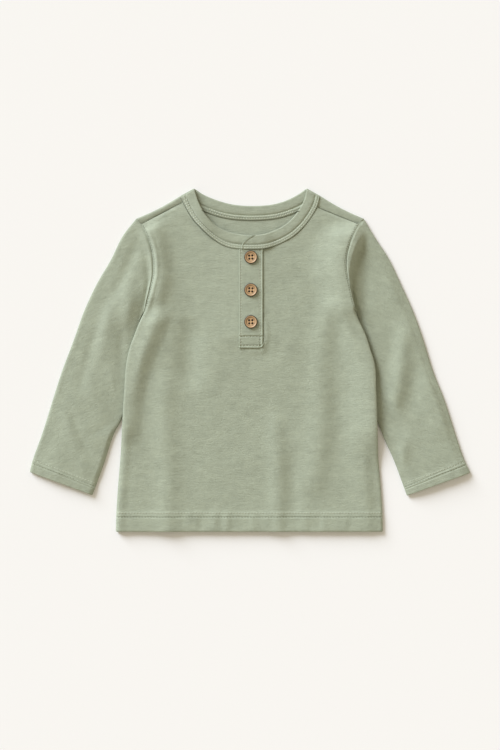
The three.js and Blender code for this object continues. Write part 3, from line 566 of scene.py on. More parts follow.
def back_piece():
    stops = [HEM_Y, HEM_TOP_Y - HEM_STEP, HEM_TOP_Y + HEM_STEP, UNDERARM_Y, SEAM_TOP_Y]
    y = np.concatenate([HEM_Y + edge_steps(4, HEM_CLOTH / 2)[:-1], refine(np.array(stops), 4.0)[1:]])
    wing_cells, neck_cells = 16, 44
    edge = edge_steps(6)
    width = (half_width("right", y) + half_width("left", y))[:, None]
    narrow = [edge[None] / width,
              edge[-1] / width + (BACK_WING_SHARE - edge[-1] / width) * np.linspace(0, 1, wing_cells + 1)[1:]]
    wing = np.concatenate(narrow, 1)
    neck = np.linspace(BACK_WING_SHARE, 1 - BACK_WING_SHARE, neck_cells + 1)[1:-1]
    share = np.concatenate([wing, np.broadcast_to(neck, (len(y), len(neck))), 1 - wing[:, ::-1]], 1)
    gap = np.where(y > UNDERARM_Y, ARMHOLE_GAP, 0)
    ends = [armhole_point("right", y, -gap)[:, None], armhole_point("left", y, -gap)[:, None]]
    top_y = back_top(np.array(0.0))[1]
    ruled = mix(back_top(np.array(0.0)), back_top(np.array(1.0)), share)
    plan = mix(ends[0], ends[1], share) + top_weight(y, top_y)[:, None, None] * (back_top(share) - ruled)
    x_at, y_at = plan[..., 0], plan[..., 1]
    seam = flat_height(y_at) / 2 - SEAM_GAP / 2
    under = seam * (1 - round_rise(edge_distance(x_at, y_at))) * side_closed(y_at) + tuck_lift(x_at, y_at)
    flat = np.concatenate([plan, under[..., None]], -1)

    # Past the flat part the cloth goes round each shoulder's fold and forward to the seam.
    share = share[-1]
    own = np.minimum(share, 1 - share) / BACK_WING_SHARE
    edge_row = np.concatenate([back_top(share), np.zeros((len(share), 1))], 1)
    wraps = [edge_row]
    for turn in np.linspace(0, 1, 13)[1:]:
        right = shoulder_wrap("right", np.minimum(own, 1), turn)
        left = shoulder_wrap("left", np.minimum(own, 1), turn)
        wraps.append(np.where((share < 0.5)[:, None], right, left))
    for run in (0.5, 1.0):
        rows = []
        for side in SIGN:
            seam = shoulder_seam(side, np.minimum(own, 1), SEAM_GAP)
            start = shoulder_wrap(side, np.minimum(own, 1), 1.0)[:, :2]
            height = np.full((len(own), 1), FLAT_HEIGHT - SHOULDER_DROP * run**3)
            rows.append(np.concatenate([mix(start, seam, np.full(len(own), run)), height], 1))
        wraps.append(np.where((share < 0.5)[:, None], rows[0], rows[1]))
    face = np.concatenate([flat, np.array(wraps)], 0)
    keep = np.ones((face.shape[0] - 1, face.shape[1] - 1), bool)
    keep[len(y):, wing.shape[1] - 1:-(wing.shape[1] - 1)] = False
    level = np.zeros(face.shape[:2], bool)
    level[:len(y), [0, -1]] = (y <= UNDERARM_Y)[:, None]
    cloth = np.full(face.shape[:2], CLOTH)
    cloth[:len(y)] = (CLOTH + (HEM_CLOTH - CLOTH) * hem_share(y))[:, None]
    turned = np.zeros(face.shape[:2])
    turned[:len(y)] = turned_in(y - HEM_Y, HEM_CLOTH)[:, None]
    return cloth_wall("back", face, cloth, -1, keep, level=level, turned=turned)


back = back_piece()
back.data.materials.append(jersey_material("jersey_back"))
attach(back, "root")
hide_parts("back_panel")


# Front: one piece of jersey, sewn to the back at the sides and shoulders, with a slot for the placket.
# Its folds are the ones that the picture shows, as soft ridges and troughs.
SLOT = {"right": -9.4, "left": 11.7, "foot": 14.4, "top": 110.4}
FRONT_WING_SHARE = 0.38
FRONT_MIDDLE = 12
EDGE_REACH = 3.4
EDGE_SLOPE = 16
SHOULDER_SLOPE = 12
ARMHOLE_START = (-6, 14)
RELIEF_FADE = {"right": 5, "left": 26}
BODY_LOFT = 0.9

# The roll along the right side's edge: its rise, how far in it lies, its width, and where it fades
EDGE_ROLL = {"rise": 1.5, "in": 4.5, "width": 5, "fades": (-86, -44)}

# The folds of the body, each as the points along it, its half width and its rise
BODY_FOLDS = [
    ([(-101, 146), (-92, 114), (-89, 84), (-95, 46)], 10, 4.5),
    ([(-80, 96), (-77, 30)], 15, 0.9),
    ([(-8, 116), (-4, 6)], 34, 1.7),
    ([(-150, 14), (60, 14)], 46, 1.4),
    ([(94, 104), (97, 60), (98, 34), (101, -64), (103, -100)], 10, 1.5),
    ([(84, 146), (82, 120), (82, 92)], 11, -1.0),
    ([(-84, -8), (-85, -70), (-81, -120), (-84, -190)], 11.5, 2.3),
    ([(-61, 44), (-60, -32)], 13, -3.7),
    ([(86, 66), (74, 24), (70, -10), (71, -50), (68, -90), (62, -138)], 12, 2.3),
    ([(90, -10), (94, -110)], 10, -0.8),
    ([(25, -50), (28, -104), (27, -190)], 8.5, 1.9),
    ([(43, -88), (45, -180)], 7, -0.8),
    ([(112, -90), (116, -176)], 12, 1.2),
]

# How the cloth stands up beside each armhole's seam, how far that reaches in, and the heights where it fades
ARMHOLE_LIFT = {
    "right": {"rise": 2.8, "body": 8, "arm": 11, "foot": (34, 72), "top": (122, 140)},
    "left": {"rise": 9.8, "body": 38, "arm": 12, "foot": (34, 56), "top": (122, 142)},
}
ARM_FALL_Y = [50, 76, 96]
LOW_ARM_FALLS = [5, 9]

# How far into each sleeve the crest beside the armhole lies, by its height along the armhole
CREST = {"right": ([0, 200], [0, 0]), "left": ([72, 85, 98, 115, 130], [0, 4, 6, 7, 7.5])}


def bead(distance, rise, width):
    """A small ridge, or with a negative rise a groove, along the line where distance is 0."""
    return rise * np.exp(-((distance / width) ** 2))


def beads(distance, rows):
    """Several ridges and grooves beside one line, each as its place, its rise and its width."""
    return sum(bead(distance - place, rise, width) for place, rise, width in rows)


def fold_relief(folds, x, y, fade=24):
    """The summed height of soft folds, each rounded off round a line of points and fading at its ends."""
    height = np.zeros_like(x)
    for points, width, rise in folds:
        nearest, place, walked = np.full_like(x, np.inf), np.zeros_like(x), 0.0
        for (ax, ay), (bx, by) in zip(points[:-1], points[1:]):
            reach = np.hypot(bx - ax, by - ay)
            t = np.clip(((x - ax) * (bx - ax) + (y - ay) * (by - ay)) / reach**2, 0, 1)
            away = (x - ax - t * (bx - ax)) ** 2 + (y - ay - t * (by - ay)) ** 2
            closer = away < nearest
            nearest = np.where(closer, away, nearest)
            place = np.where(closer, walked + t * reach, place)
            walked += reach
        end = min(fade, walked / 2)
        strength = smooth(place, -end / 3, end) * (1 - smooth(place, walked - end, walked + end / 3))
        height += rise * strength * np.exp(-nearest / width**2)
    return height


def armhole_lift(side, y, distance, into_sleeve=False):
    """How far the cloth beside an armhole's seam stands up, at a distance from the seam."""
    lift = ARMHOLE_LIFT[side]
    rise = lift["rise"] * smooth(y, *lift["foot"]) * (1 - smooth(y, *lift["top"]))
    if not into_sleeve:
        return rise * (1 - smooth(distance, 0, lift["body"]))
    crest = np.interp(y, *CREST[side])
    falls = np.interp(y, ARM_FALL_Y, [*LOW_ARM_FALLS, lift["arm"]])
    return rise * (1 - smooth((distance - crest) / falls, 0, 1))


def shoulder_distance(x, y):
    """How far below its shoulder seam a point of the front lies."""
    below = []
    for side in SIGN:
        end, wing = shoulder_seam(side, 0.0, 0), shoulder_seam(side, 1.0, 0)
        across = np.array([(wing - end)[1], -(wing - end)[0]]) / np.linalg.norm(wing - end)
        below.append(-SIGN[side] * ((x - end[0]) * across[0] + (y - end[1]) * across[1]))
    return np.maximum(np.minimum(*below), 0)


def front_base(x, y):
    """The front's face without its finest detail, also read under the neckband and the placket."""
    distance = edge_distance(x, y)
    armhole = smooth(y - UNDERARM_Y, *ARMHOLE_START)
    beside_armhole = smooth(distance, 0, np.where(x < 0, RELIEF_FADE["right"], RELIEF_FADE["left"]))
    settle = smooth(distance, FOLD_REACH, EDGE_SLOPE) * (1 - armhole) + beside_armhole * armhole
    below_seam = smooth(shoulder_distance(x, y), 0, SHOULDER_SLOPE)
    relief = (BODY_LOFT + fold_relief(BODY_FOLDS, x, y)) * settle * below_seam
    roll = bead(half_width("right", y) + x - EDGE_ROLL["in"], EDGE_ROLL["rise"], EDGE_ROLL["width"])
    relief += roll * (1 - smooth(y, *EDGE_ROLL["fades"]))
    for side in SIGN:
        relief += armhole_lift(side, y, np.maximum(half_width(side, y) - SIGN[side] * x, 0))
    return flat_height(y) + relief + tuck_lift(x, y)


HEM_ROWS = (-152.8, -156.7)
UPPER_ROW_RIDGE = 0.26
LOWER_ROW_DEPTH = 0.36
HEM_RIPPLE = {"rise": 0.62, "lump": (6.5, 30), "foot": (-2.5, 5.5), "top": (-3.5, 8.5),
              "right": (-84, -50), "left": (84, 112), "least": 0.35}
FRONT_DITCH = [(0, -1.0, 1.5), (3.0, 0.3, 1.3)]
SHOULDER_DITCH = [(0, 0.75, -1.4), (-2.2, 1.1, 0.45)]
PLACKET_PUCKER = ([(15.5, 44), (16.5, 22), (12, 8.5), (-8, 8)], 2.6, 0.75)
DITCH_START = (-4, 6)
DITCH_SHARE = {"right": 1.0, "left": 0.22}
ROW_CLUSTER = np.array([-2.1, -1.3, -0.8, -0.4, 0, 0.4, 0.8, 1.3, 2.1])

# The cloth's own unevenness, from hand-sized waves down to crinkles: how high, and how large
CREASES = [(0.3, 36), (0.14, 15), (0.055, (8, 5)), (0.022, (4, 2.6))]


def needle_row(distance, depth=0.24):
    """The groove that a row of stitches pulls, with the cloth standing up on both sides of it."""
    return beads(distance, [(0, -depth, 0.75), (1.5, 0.4 * depth, 0.8), (-1.5, 0.4 * depth, 0.8)])


def small_creases(x, y, seed):
    return sum(rise * uneven(x, y, size, seed + k) for k, (rise, size) in enumerate(CREASES))


def front_detail(x, y):
    """Needle rows, the puckers that they draw in the hem, seam ditches, and the cloth's small unevenness."""
    distance = edge_distance(x, y)
    detail = small_creases(x, y, 100) * smooth(distance, 0, 6)
    uneven_pull = 0.8 + 0.5 * uneven(x, y, 3, 9)
    rows = bead(y - HEM_ROWS[0] - 0.6, UPPER_ROW_RIDGE, 0.8) + needle_row(y - HEM_ROWS[1], LOWER_ROW_DEPTH)
    detail += rows * uneven_pull
    detail += fold_relief([PLACKET_PUCKER], x, y, 12)
    in_hem = smooth(y - HEM_Y, *HEM_RIPPLE["foot"]) * (1 - smooth(y - HEM_TOP_Y, *HEM_RIPPLE["top"]))
    rippled = smooth(x, *HEM_RIPPLE["right"]) * (1 - smooth(x, *HEM_RIPPLE["left"]))
    rippled = HEM_RIPPLE["least"] + (1 - HEM_RIPPLE["least"]) * rippled
    detail += HEM_RIPPLE["rise"] * rippled * uneven(x, y, HEM_RIPPLE["lump"], 5) * in_hem
    armhole = smooth(y - UNDERARM_Y, *DITCH_START)
    ditch = np.where(x < 0, DITCH_SHARE["right"], DITCH_SHARE["left"])
    detail += armhole * ditch * beads(distance, FRONT_DITCH)
    detail += armhole * bead(distance, 0.16, 7) * uneven(x, y, (30, 5), 6)
    for side in SIGN:
        for shift, width, rise in SHOULDER_DITCH:
            line = [tuple(shoulder_seam(side, share, shift)) for share in (0.0, 1.0)]
            detail += fold_relief([(line, width, rise)], x, y)
    return detail


def front_top(side, share):
    """The top edge of the front, from the armhole over the wing to the slot."""
    seam = shoulder_seam(side, np.minimum(share / FRONT_WING_SHARE, 1), 0)
    ends = [share_at_x(neck_front_sewn, SIGN[side] * WING_SEAM_X), share_at_x(neck_front_sewn, SLOT[side])]
    run = np.clip((share - FRONT_WING_SHARE) / (1 - FRONT_WING_SHARE), 0, 1)
    neck = beside(neck_front_sewn, ends[0] + (ends[1] - ends[0]) * run, NECK_GAP)
    return np.where((share <= FRONT_WING_SHARE)[..., None], seam, neck)


def front_half(side, y, middle_y):
    """Plan points of the front's one half, from its side in to the slot, a row for each height."""
    outer_cells, inner_cells = 24, 50
    edge = np.concatenate([edge_steps(5), FOLD_REACH + np.array([0.6, 1.2, 1.9, 2.7, 3.6])])
    width = (half_width(side, y) - FRONT_MIDDLE)[:, None]
    first = edge[-1] / width
    outer = first + (FRONT_WING_SHARE - first) * np.linspace(0, 1, outer_cells + 1)[1:]
    inner = np.broadcast_to(np.linspace(FRONT_WING_SHARE, 1, inner_cells + 1)[1:], (len(y), inner_cells))
    share = np.concatenate([edge[None] / width, outer, inner], 1)
    gap = np.where(y > UNDERARM_Y, ARMHOLE_GAP, 0)
    seam_end = armhole_point(side, SEAM_TOP_Y, -ARMHOLE_GAP)
    slot_top = front_top(side, np.array(1.0))
    middle_y = np.where(y >= SEAM_TOP_Y, slot_top[1], middle_y)
    middle = np.stack([np.full_like(y, SLOT[side]), middle_y], -1)
    straight = mix(armhole_point(side, y, -gap)[:, None], middle[:, None], share)
    shape = front_top(side, share) - mix(seam_end, slot_top, share)
    return straight + top_weight(y, SEAM_TOP_Y)[:, None, None] * shape


def front_piece():
    slot_y = 14.5
    side_stops = np.array([HEM_Y, HEM_TOP_Y, slot_y, UNDERARM_Y, 64, 90, 116, SEAM_TOP_Y])
    middle_stops = np.array([HEM_Y, HEM_TOP_Y, SLOT["foot"], 48, 61, 80, 97, SLOT["top"]])
    y = np.concatenate([HEM_Y + edge_steps(4, HEM_CLOTH / 2)[:-1], refine(side_stops, 1.8)[1:]])
    clustered = np.concatenate([row + ROW_CLUSTER for row in HEM_ROWS])
    far = np.abs(y[:, None] - clustered).min(1) > 0.35
    inside_rows = (y > clustered.min()) & (y < clustered.max())
    y = np.sort(np.concatenate([y[far & ~inside_rows], clustered]))
    middle_y = np.interp(y, side_stops, middle_stops)
    right, left = front_half("right", y, middle_y), front_half("left", y, middle_y)
    middle_cells = 14
    bridge = [mix(right[:, -1], left[:, -1], np.full(len(y), k / middle_cells))
              for k in range(1, middle_cells)]
    plan = np.concatenate([right, np.stack(bridge, 1), left[:, ::-1]], 1)
    x_at, y_at = plan[..., 0], plan[..., 1]
    distance = edge_distance(x_at, y_at)
    top = front_base(x_at, y_at)
    seam = flat_height(y_at) / 2 + SEAM_GAP / 2 + tuck_lift(x_at, y_at)
    rounded = seam + (top - seam) * round_rise(distance, EDGE_REACH)
    closed = side_closed(y_at)
    height = top * (1 - closed) + rounded * closed + front_detail(x_at, y_at)
    face = np.concatenate([plan, height[..., None]], -1)
    keep = np.ones((face.shape[0] - 1, face.shape[1] - 1), bool)
    slot_row = int(np.argmin(np.abs(y - slot_y)))
    keep[slot_row:, right.shape[1] - 1:right.shape[1] - 1 + middle_cells] = False
    level = np.zeros(face.shape[:2], bool)
    level[:, [0, -1]] = (y <= UNDERARM_Y)[:, None]
    cloth = (CLOTH + (HEM_CLOTH - CLOTH) * hem_share(y))[:, None]
    turned = turned_in(y - HEM_Y, HEM_CLOTH)[:, None]
    return cloth_wall("front", face, cloth, 1, keep, level=level, turned=turned)


front = front_piece()
front.data.materials.append(jersey_material("jersey_front"))
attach(front, "root")
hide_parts("front_panel")


# Sleeves: each one piece of jersey sewn into a tube, set into its armhole and pressed flat, with the cuff
# turned up inside and stitched in two rows. The underarm side is tucked a little under the body.
CUFF_DEPTH = 13
CUFF_ROWS = (12.6, 9.2)
SLEEVE_LOFT = {"right": 1.4, "left": 1.6}
SLEEVE_TURN = {"right": -0.363, "left": 0.363}

SLEEVE_OUTER = {
    "right": [(113.5, 141.3), (127, 124), (139, 100), (153, 76), (166, 48), (176, 20), (188, -12), (197, -40),
              (207, -72), (217, -100), (220, -112)],
    "left": [(113.5, 141.3), (125, 122), (138, 102), (149.5, 78), (163, 48), (173, 20), (183, -12),
             (194, -40), (205, -74), (214, -100), (220, -112.7)],
}
SLEEVE_INNER = {
    "right": [(105.3, 49), (110.3, 38), (112.6, 22), (114.6, 2), (117, -25), (121.5, -45), (128.6, -60),
              (136, -74), (146, -104), (157.3, -135)],
    "left": [(105.4, 49), (109.6, 38), (112.4, 22), (114.8, 2), (117.4, -27), (121.4, -48), (127.8, -63),
             (135, -81), (144, -101), (156.7, -135.6)],
}
SLEEVE_FOLDS = {
    "right": [
        ([(-108, 132), (-118, 106), (-129, 80), (-142, 56)], 7, -2.3),
        ([(-141, 78), (-158, 18), (-172, -36)], 7, -1.6),
        ([(-121, 76), (-121, 54), (-124, 32)], 7.5, 2.4),
        ([(-142, 58), (-146, 14), (-147, -4)], 9, 1.5),
        ([(-168, 6), (-158, -30), (-142, -60)], 6.5, 0.7),
        ([(-188, -36), (-177, -78), (-162, -118)], 7, 0.8),
        ([(-128, 36), (-128, -30)], 5, -1.0),
        ([(-168, -88), (-147, -68), (-127, -46)], 15, 1.7),
        ([(-187, -35), (-168, -78), (-155, -106)], 4.5, -0.9),
        ([(-132, -44), (-138, -20), (-142, 0)], 3.2, 0.5),
        ([(-130, 92), (-136, 20)], 17, 1.2),
        ([(-162, -84), (-168, -126)], 12, 1.1),
    ],
    "left": [
        ([(111, 132), (113, 92), (114, 40)], 7, -1.6),
        ([(143, 34), (146, -12)], 12, -1.0),
        ([(154, 38), (151, -4), (147, -30), (134, -64)], 9, 3.0),
        ([(170, 0), (158, -58)], 8, -0.9),
        ([(156, -74), (148, -112)], 7, 1.7),
        ([(134, 110), (150, 44)], 13, 0.9),
        ([(172, -6), (194, -82)], 13, 1.5),
    ],
}

# How the loft rises from each sleeve's underarm edge, its roll and its drop there, and how far in it slopes
# from the outer edge and from the armhole
INNER_REACH = {"right": (0, 44), "left": (15, 31)}
INNER_ROLL = {"right": (0.62, 5), "left": (1.0, 12)}
INNER_ROLL_Y = (-80, -60)
INNER_DROP = {"right": 0.1, "left": 0.5}
INNER_DROP_REACH = (6, 26)
OUTER_REACH = {"right": 26, "left": 9}
ARMHOLE_REACH = (2, 20)
SLEEVE_DITCH = [(0, -0.7, 1.5), (3.0, 0.25, 1.4)]
CUFF_RIPPLE = {"rise": 0.2, "lump": (4.5, 20)}
SLEEVE_SEED = {"right": 200, "left": 300}


def sleeve_piece(side):
    sign = SIGN[side]
    inner_line = route([(sign * (x + ARMHOLE_GAP), y) for x, y in SLEEVE_INNER[side]])
    outer_line = route([(sign * (x + ARMHOLE_GAP), y) for x, y in SLEEVE_OUTER[side]])
    length = walk(outer_line)[-1]
    cuff_edge = length - edge_steps(4, HEM_CLOTH / 2)[::-1]
    first = np.array([0, 0.6, 1.2, 1.9, 2.6, 3.4, 4.4])
    needles = np.sort(np.concatenate([length - row + ROW_CLUSTER for row in CUFF_ROWS]))
    stops = np.concatenate([refine(np.array([first[-1], needles[0]]), 2.0), needles[1:-1],
                            refine(np.array([needles[-1], cuff_edge[0]]), 1.6)])
    share = np.concatenate([first[:-1], stops[:-1], cuff_edge]) / length
    ends = np.stack([along(inner_line, share), along(outer_line, share)], 1)
    width = np.linalg.norm(ends[:, 1] - ends[:, 0], axis=1)
    armhole_ends = armhole_point(side, np.array([UNDERARM_Y, SHOULDER_Y]), ARMHOLE_GAP)
    seam = armhole_point(side, SEAM_TOP_Y, ARMHOLE_GAP)
    slant = (SHOULDER_Y - SEAM_TOP_Y) / np.linalg.norm(armhole_ends[1] - seam)

    # Each station round the tube: its distance in from an edge, or its share across, and its armhole height.
    reach = edge_steps(6)
    top_reach = np.concatenate([edge_steps(5), [2.7, 3.5, 4.5]])
    middle_y = refine(np.array([UNDERARM_Y + top_reach[-1], SEAM_TOP_Y]), 1.9)[1:]
    stations = [("inner", d, UNDERARM_Y + d) for d in top_reach]
    stations += [("none", 0, y) for y in middle_y]
    stations += [("outer", d, SHOULDER_Y - d * slant) for d in top_reach[::-1]]
    loose_y = refine(np.array([UNDERARM_Y + FOLD_REACH, SEAM_TOP_Y]), 6.0)[1:]
    under = [("inner", d, UNDERARM_Y + d) for d in reach[1:]]
    under += [("none", 0, y) for y in loose_y]
    under += [("outer", d, SHOULDER_Y - d * slant) for d in reach[::-1][:-1]]
    faces_up = len(stations)
    stations += under[::-1]

    walked = share * length
    cuff = smooth(walked, length - CUFF_DEPTH - HEM_STEP, length - CUFF_DEPTH + HEM_STEP)
    columns = []
    for k, (edge, distance, y) in enumerate(stations):
        armhole_share = (y - UNDERARM_Y) / (SHOULDER_Y - UNDERARM_Y)
        across = np.full_like(share, armhole_share)
        if edge == "inner":
            across = distance / width
        if edge == "outer":
            across = 1 - distance / width
        across_plan = np.where(share == 0, armhole_share, across)
        straight = mix(ends[:, 0], ends[:, 1], across_plan)
        bulge = armhole_point(side, y, ARMHOLE_GAP) - mix(*armhole_ends, armhole_share)
        plan = straight + ((1 - share) ** 2)[:, None] * bulge
        from_inner = distance if edge == "inner" else across * width
        from_outer = distance if edge == "outer" else (1 - across) * width
        base = FLAT_HEIGHT + HEM_RISE * cuff
        rise = round_rise(np.minimum(from_inner, from_outer))
        if k >= faces_up:
            height = base / 2 * (1 - rise)
        else:
            rise = round_rise(np.minimum(from_inner, from_outer), EDGE_REACH)
            roll, roll_width = INNER_ROLL[side]
            rolled = (1 - smooth(plan[:, 1], *INNER_ROLL_Y)) * roll * smooth(from_inner, 0.5, roll_width)
            inside = np.maximum(smooth(from_inner, *INNER_REACH[side]), rolled)
            inside *= smooth(from_outer, 1, OUTER_REACH[side])
            relief = SLEEVE_LOFT[side] + fold_relief(SLEEVE_FOLDS[side], plan[:, 0], plan[:, 1])
            height = base / 2 * (1 + rise) + relief * inside * smooth(walked, *ARMHOLE_REACH)
            height += armhole_lift(side, y, walked, True)
            height -= INNER_DROP[side] * (1 - smooth(from_inner, *INNER_DROP_REACH)) * rise
            height += sleeve_detail(plan[:, 0], plan[:, 1], walked, length, side) * rise
        columns.append(np.column_stack([plan, height]))
    face = np.stack(columns, 1)
    cloth = (CLOTH + (HEM_CLOTH - CLOTH) * cuff)[:, None]
    turned = turned_in((1 - share) * length, HEM_CLOTH)[:, None]
    return cloth_wall(f"{side}_sleeve", face, cloth, -sign, loop=True, turned=turned)


def sleeve_detail(x, y, walked, length, side):
    """The cuff's needle rows and ripples, the armhole's ditch, and the cloth's small unevenness."""
    seed = SLEEVE_SEED[side]
    detail = small_creases(x, y, seed)
    for row in CUFF_ROWS:
        detail += needle_row(walked - (length - row))
    in_cuff = smooth(walked, length - CUFF_DEPTH - 5, length - CUFF_DEPTH)
    detail += CUFF_RIPPLE["rise"] * in_cuff * uneven(x, y, CUFF_RIPPLE["lump"], seed + 5)
    detail += beads(walked, SLEEVE_DITCH)
    return detail + bead(walked, 0.18, 7) * uneven(x, y, (30, 5), seed + 6)


sleeves = {}
for side in SIGN:
    piece = sleeve_piece(side)
    piece.data.materials.append(jersey_material(f"jersey_sleeve_{side}", turn=SLEEVE_TURN[side]))
    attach(piece, "root")
    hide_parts(f"sleeve_{side}")
    sleeves[side] = piece


# Neckband: one strip folded double and sewn round the neck, its ends lapped at the centre front with the
# wearer's left end on top and rounded off. Two rows of stitches hold its seam down.
BAND_CLOTH = 1.6
BAND_RISE = 0.6
BAND_TURN = 2.0
LAP_RISE = BAND_CLOTH + SEAM_GAP
LAP_REACH = (14, 27)
BAND_LOWER_END_X = 9.5
BAND_UPPER_END_X = (-9.3, 4.6)
LAP_CURVE = 2.2
NECK_STAND = {"x": -48, "rise": 2.6, "width": 13}
BAND_SETTLE_X = (44, 62)
BAND_EDGE = 0.055
BAND_WIDTH = 14
BAND_GROOVE = 4.5
BAND_BEADS = [(0.9, 0.2, 0.7), (1.6, -0.25, 0.5), (2.7, 0.3, 0.9), (BAND_GROOVE, -0.55, 0.75),
              (12.8, 0.2, 0.8)]
BAND_ROLL = 0.35
LAP_BEADS = [(0.8, 0.4, 0.7), (2.2, -0.35, 0.6)]
LAP_BEADS_REACH = 12
BAND_STITCHES = (0.11, 0.27)
BAND_SAGE = (0.384, 0.415, 0.305)
BAND_LINES = {"front": (neck_front_sewn, neck_front_free), "back": (neck_back_sewn, neck_back_free)}


def band_relief(distance):
    """The band's raised form across its width: a stitched-down seam channel, a groove, then a soft roll."""
    past_groove = np.clip((distance - BAND_GROOVE) / (BAND_WIDTH - BAND_GROOVE), 0, 1)
    return beads(distance, BAND_BEADS) + BAND_ROLL * np.sin(np.pi * past_groove)


def band_front_height(x, y, upper):
    """The band's face over the front. It settles to its fold at the shoulders, and its upper end climbs."""
    settle = smooth(np.abs(x), *BAND_SETTLE_X)
    settled = (front_base(x, y) + BAND_RISE) * (1 - settle) + 2 * BAND_TURN * settle
    settled += bead(x - NECK_STAND["x"], NECK_STAND["rise"], NECK_STAND["width"])
    return settled + (LAP_RISE * (1 - smooth(x, *LAP_REACH)) if upper else 0)


def neckband_piece():
    across = np.concatenate([edge_steps(4, BAND_EDGE), np.linspace(BAND_EDGE, 0.40, 13)[1:],
                             np.linspace(0.40, 1 - BAND_EDGE, 10)[1:-1], 1 - edge_steps(5, BAND_EDGE)[::-1]])
    level = np.zeros(len(across))

    def strip(part, shares):
        """Plan points across the band, between a share of its sewn edge and a share of its free edge."""
        sewn, free = (along(line, np.broadcast_to(share, across.shape))
                      for line, share in zip(BAND_LINES[part], shares))
        return mix(sewn, free, across)

    # The share of each line that the fold at the shoulder takes up, and where the lapped ends lie
    near = {part: np.array([BAND_TURN / walk(line)[-1] for line in lines])
            for part, lines in BAND_LINES.items()}
    lap_x = BAND_UPPER_END_X[0] + (BAND_UPPER_END_X[1] - BAND_UPPER_END_X[0]) * across**LAP_CURVE
    end_x = {"right": level + BAND_LOWER_END_X, "left": lap_x}
    runs = np.concatenate([edge_steps(4, 0.012), np.linspace(0.012, 1, 68)[1:]])
    fronts, turns = {}, {}
    for side, fold in (("right", 0), ("left", 1)):
        inward = 1 - 2 * fold
        ends = [share_at_x(line, end_x[side]) for line in BAND_LINES["front"]]
        fronts[side], turns[side] = [], []
        for run in runs:
            shares = [end + (fold + inward * past - end) * run for end, past in zip(ends, near["front"])]
            plan = strip("front", shares)
            height = band_front_height(plan[:, 0], plan[:, 1], side == "left")
            fronts[side].append(np.column_stack([plan, height]))
        edge = strip("front", [fold, fold])
        for angle in np.linspace(0, np.pi, 17)[1:-1]:
            part = "front" if angle < np.pi / 2 else "back"
            start = strip(part, fold + inward * near[part])
            plan = mix(start, edge, level + np.sin(angle))
            turns[side].append(np.column_stack([plan, level + BAND_TURN * (1 + np.cos(angle))]))
    backs = [np.column_stack([strip("back", near["back"] + (1 - 2 * near["back"]) * run), level])
             for run in np.linspace(0, 1, 81)]
    stations = fronts["right"] + turns["right"] + backs + turns["left"][::-1] + fronts["left"][::-1]
    face = np.stack(stations, 1)
    front_cells = len(fronts["right"])
    on_front = np.zeros(face.shape[1], bool)
    on_front[:front_cells] = on_front[-front_cells:] = True
    face[:, on_front, 2] += band_relief(across * BAND_WIDTH)[:, None]
    face[:, on_front, 2] += 0.08 * uneven(face[:, on_front, 0], face[:, on_front, 1], 5, 41)
    cloth = BAND_CLOTH + 0.07 * uneven(face[..., 0], face[..., 1], (2.0, 60), 42)
    cloth[:, ~on_front] += band_relief(across * BAND_WIDTH)[:, None]
    from_edge = np.minimum(across, 1 - across) * BAND_WIDTH

    # The upper end of the lap, which is the last station, rounds off and stands up in a bead.
    from_end = walk(face[len(across) // 2, ::-1, :2])[::-1]
    near_end = on_front & (from_end < LAP_BEADS_REACH)
    face[:, near_end, 2] += beads(from_end[near_end], LAP_BEADS)[None]
    rounded = np.minimum(round_rise(from_edge, BAND_CLOTH / 2)[:, None],
                         round_rise(from_end, BAND_CLOTH / 2)[None])
    return cloth_wall("neck_band", face, cloth, -1, turned=BAND_CLOTH / 2 * (1 - rounded) * TURN_SHARE)


neckband = neckband_piece()
neckband.data.materials.append(jersey_material("jersey_band", colour=BAND_SAGE, streaks=0.35))
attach(neckband, "root")
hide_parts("neckband")


# Placket: two pressed strips, the wearer's left over the right, sewn to the slot's edges. The upper one is
# stitched down along both sides and closed at its foot with a stitched box.
STRIP_CLOTH = 1.2
STRIP_SINK = 0.65
STRIP_END_RISE = 0.5
STRIP_CLIMB = 6
STRIP_EDGE = 0.8
STRIP_ROUND = 0.6
STRIP_STOPS = [STRIP_EDGE, 16.0, 97.0]
STRIP_SAGE = (0.388, 0.42, 0.308)
PLACKET = {"right": -10.5, "left": 12.8, "foot": 12.2}
OVERHANG = 0.5
CROSS_SEAM_Y = 23.5
UNDER_FOOT_Y = 15
UNDER_INSET = 0.1
CORNER = 4.2

# The upper strip's grooves and ridges beside its cross seam, its foot, its long edges and its box
STRIP_BEADS = {
    "cross": [(0, -0.75, 0.6), (1.5, 0.25, 0.8)],
    "foot": [(0.9, 0.4, 0.8), (2.4, -0.6, 0.6)],
    "right": [(0.8, 0.42, 0.7), (2.0, -0.25, 0.55)],
    "left": [(-1.3, 0.5, 0.65), (-2.9, -0.45, 0.6)],
    "box": [(-3.6, -0.15, 0.6)],
}


def stitched_relief(x, y, from_foot, right_x, left_x):
    """The grooves under the upper strip's rows of stitches, and the cloth that stands up beside them."""
    relief = beads(y - CROSS_SEAM_Y, STRIP_BEADS["cross"]) + beads(from_foot, STRIP_BEADS["foot"])
    relief += beads(x - right_x, STRIP_BEADS["right"]) + beads(x - left_x, STRIP_BEADS["left"])
    return relief + smooth(CROSS_SEAM_Y - y, 0, 1) * beads(x - left_x, STRIP_BEADS["box"])


